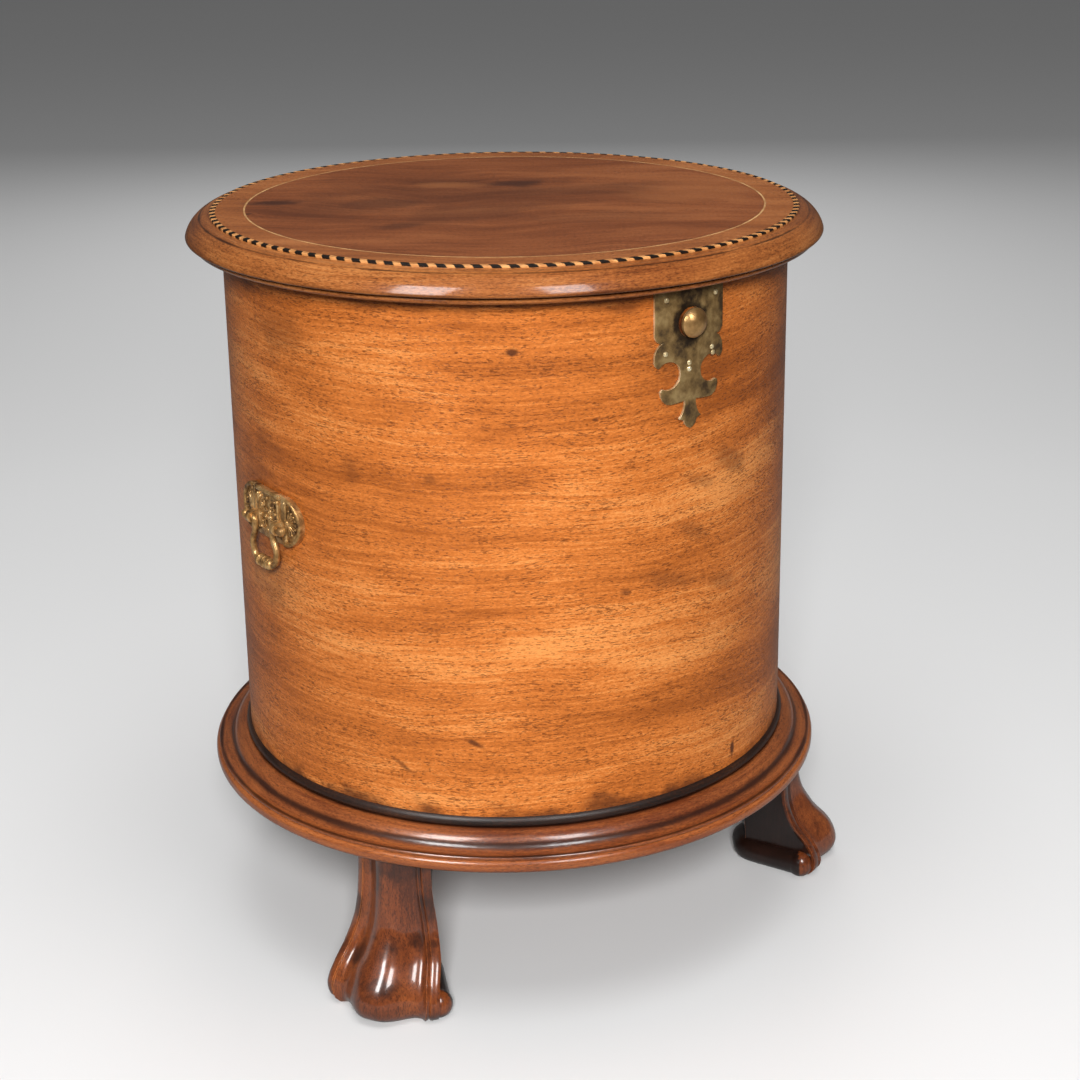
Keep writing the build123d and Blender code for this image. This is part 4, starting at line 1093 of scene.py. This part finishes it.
# %% Grips of the bails
bail_reach, grip_height = 210.1, 303.0
grip_outline = [(axis, -9.4), (2.6, -9.4)]
for bead in (-6.0, 0.0, 6.0):
    for groove, height in ((3.2, -2.9), (3.9, -2.2), (3.9, -1.6), (3.5, -1.2), (4.4, -0.7),
                           (4.4, 0.7), (3.5, 1.2), (3.9, 1.6), (3.9, 2.2), (3.2, 2.9)):
        grip_outline.append((groove, bead + height))
grip_outline += [(2.6, 9.4), (axis, 9.4)]
grip_pattern = turned(grip_outline, 32)
settle(grip_pattern)
for vertex in grip_pattern.data.vertices:
    x, y, z = vertex.co
    vertex.co = Vector((z, y - bail_reach * MM, x + grip_height * MM))
for side, turn in (("left", -90), ("right", 90)):
    grip = placed("grip", grip_pattern.data.copy())
    grip.rotation_euler.z = radians(turn)
    complete(grip, f"handle_{side}_grip", handle_brass, f"{side}_bail", "aged_brass", smooth=60)
bpy.data.objects.remove(grip_pattern)

# %% [markdown]
# The rest of the CAD keeps its own meshes and only gets a finish: boards that are
# flat, and fittings that are small or hidden while the lid is down.

# %% Dress the remaining nodes
finishes = {
    "case_floor": oak_finish, "lid_board": lid_under_finish, "lid_veneer_field": lid_finish,
    "lid_veneer_border": border_finish, "lid_string_inlay": string_finish,
    "push_button": button_brass, "latch_catch": aged_brass, "latch_case": aged_brass,
    "latch_strike": aged_brass, "hinge_case_leaf": aged_brass, "hinge_lid_leaf": aged_brass,
    "handle_left_pins": rubbed_brass, "handle_right_pins": rubbed_brass,
}
dressed = 0
for name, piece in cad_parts.items():
    if piece.hide_render:
        continue
    if name.startswith("rack_slat"):
        finish = oak_cross_finish if name.endswith(("left", "middle", "right")) else oak_finish
    else:
        finish = finishes.get(name, steel_finish)
    piece.data.materials.clear()
    coat(piece, finish)
    dressed += 1
print(dressed, "CAD nodes keep their own meshes")

# %% [markdown]
# The object stands in a plain grey studio. The floor is one large sheet, pale near the
# object and darker far behind it, as paper is where the lamps don't reach, with a
# slight haze at the back that only the camera sees. Only the camera sees its full
# paleness too: to the polish and to the light that bounces it is a dull grey, so that
# it doesn't wash out the wood.

# %% Floor
studio_grey = srgb("#646464")
deselect()
bpy.ops.mesh.primitive_plane_add(size=60, location=(0, 0, 0))
floor = bpy.context.object
floor.name = "studio_floor"
floor_finish, tree = start_finish("grey_paper", Roughness=0.9)
place = node(tree, "TexCoord").outputs["Object"]
reach = node(tree, "VectorMath", {0: place}, operation="LENGTH")
far = node(tree, "Math", {0: reach, 1: 10.0}, operation="LOGARITHM")
share = node(tree, "MapRange", {"Value": far, "From Min": -0.6, "From Max": 1.0})
colour = node(tree, "ValToRGB", {"Fac": share}, stops=(
    (0.0, "#dedede"), (0.2, "#e4e4e4"), (0.4, "#ececec"), (0.54, "#ebebeb"), (0.62, "#eaeaea"),
    (0.7, "#ececec"), (0.79, "#eeeeee"), (0.9, "#f0f0f0"), (1.0, "#f0f0f0")))
paths = node(tree, "LightPath").outputs
shown = node(tree, "Math", {0: paths["Is Camera Ray"], 1: paths["Is Transmission Ray"]},
             operation="MAXIMUM")
shown = node(tree, "MapRange", {"Value": paths["Is Glossy Ray"], "To Min": shown, "To Max": 0.3})
colour = node(tree, "Mix", {0: shown, 6: studio_grey, 7: colour}, data_type="RGBA")
surface(floor_finish, colour)
haze = node(tree, "ValToRGB", {"Fac": share}, stops=((0.45, "#000000"), (0.9, "#3a3a3a")))
shader = tree.nodes["Principled BSDF"]
feed(shader, "Emission Color", haze)
feed(shader, "Emission Strength", paths["Is Camera Ray"])
floor.data.materials.append(floor_finish)

# %% [markdown]
# The lamps are of two kinds. Two soft boxes left and right of the camera are seen by
# the polish only. They make the pair of long highlights on the lid's edge and on each
# foot. A key lamp near the camera, a wide one above and one behind light the surfaces,
# and the polish doesn't see them. So the highlights keep their size and place while
# the light on the wood is set by itself. The world fills the shadows.

# %% Lamps and world
def softbox(name, azimuth, elevation, distance, size, power, mirrored):
    """An area lamp aimed at the drum. It either makes highlights or lights surfaces."""
    lamp = bpy.data.lights.new(name, "AREA")
    lamp.shape = "RECTANGLE"
    lamp.size, lamp.size_y = size
    lamp.energy = power
    stand = placed(name, lamp)
    stand.visible_glossy = mirrored
    stand.visible_diffuse = not mirrored
    a, e = radians(azimuth), radians(elevation)
    drum_middle = Vector((0, 0, 300 * MM))
    stand.location = drum_middle + distance * Vector((sin(a) * cos(e), -cos(a) * cos(e), sin(e)))
    stand.rotation_euler = (drum_middle - stand.location).to_track_quat("-Z", "Y").to_euler()
    print(name, power, "W")


softbox("softbox_left", -66, 38, 2.2, (0.62, 1.0), 34, True)
softbox("softbox_right", -14, 40, 2.2, (0.5, 0.9), 22, True)
softbox("front_key", -36, 27, 3.0, (0.7, 0.7), 112, False)
softbox("top_fill", -35, 80, 2.4, (1.6, 1.6), 31, False)
softbox("back_fill", 145, 26, 3.0, (1.4, 1.4), 16, False)

world = bpy.data.worlds.new("studio_world")
bpy.context.scene.world = world
world.use_nodes = True
tree = world.node_tree
tree.nodes.clear()
paths = node(tree, "LightPath").outputs
seen = node(tree, "Background", {"Color": studio_grey, "Strength": 1.0})
fill = node(tree, "Background", {"Color": srgb("#ffffff"), "Strength": 0.07})
mixed = node(tree, "MixShader", {0: paths["Is Camera Ray"], 1: fill, 2: seen})
node(tree, "OutputWorld", {"Surface": mixed})
bpy.context.scene.view_settings.view_transform = "Standard"

# %% Measure and finish
def corners(box):
    return [[round(float(v), 6) for v in corner] for corner in box]
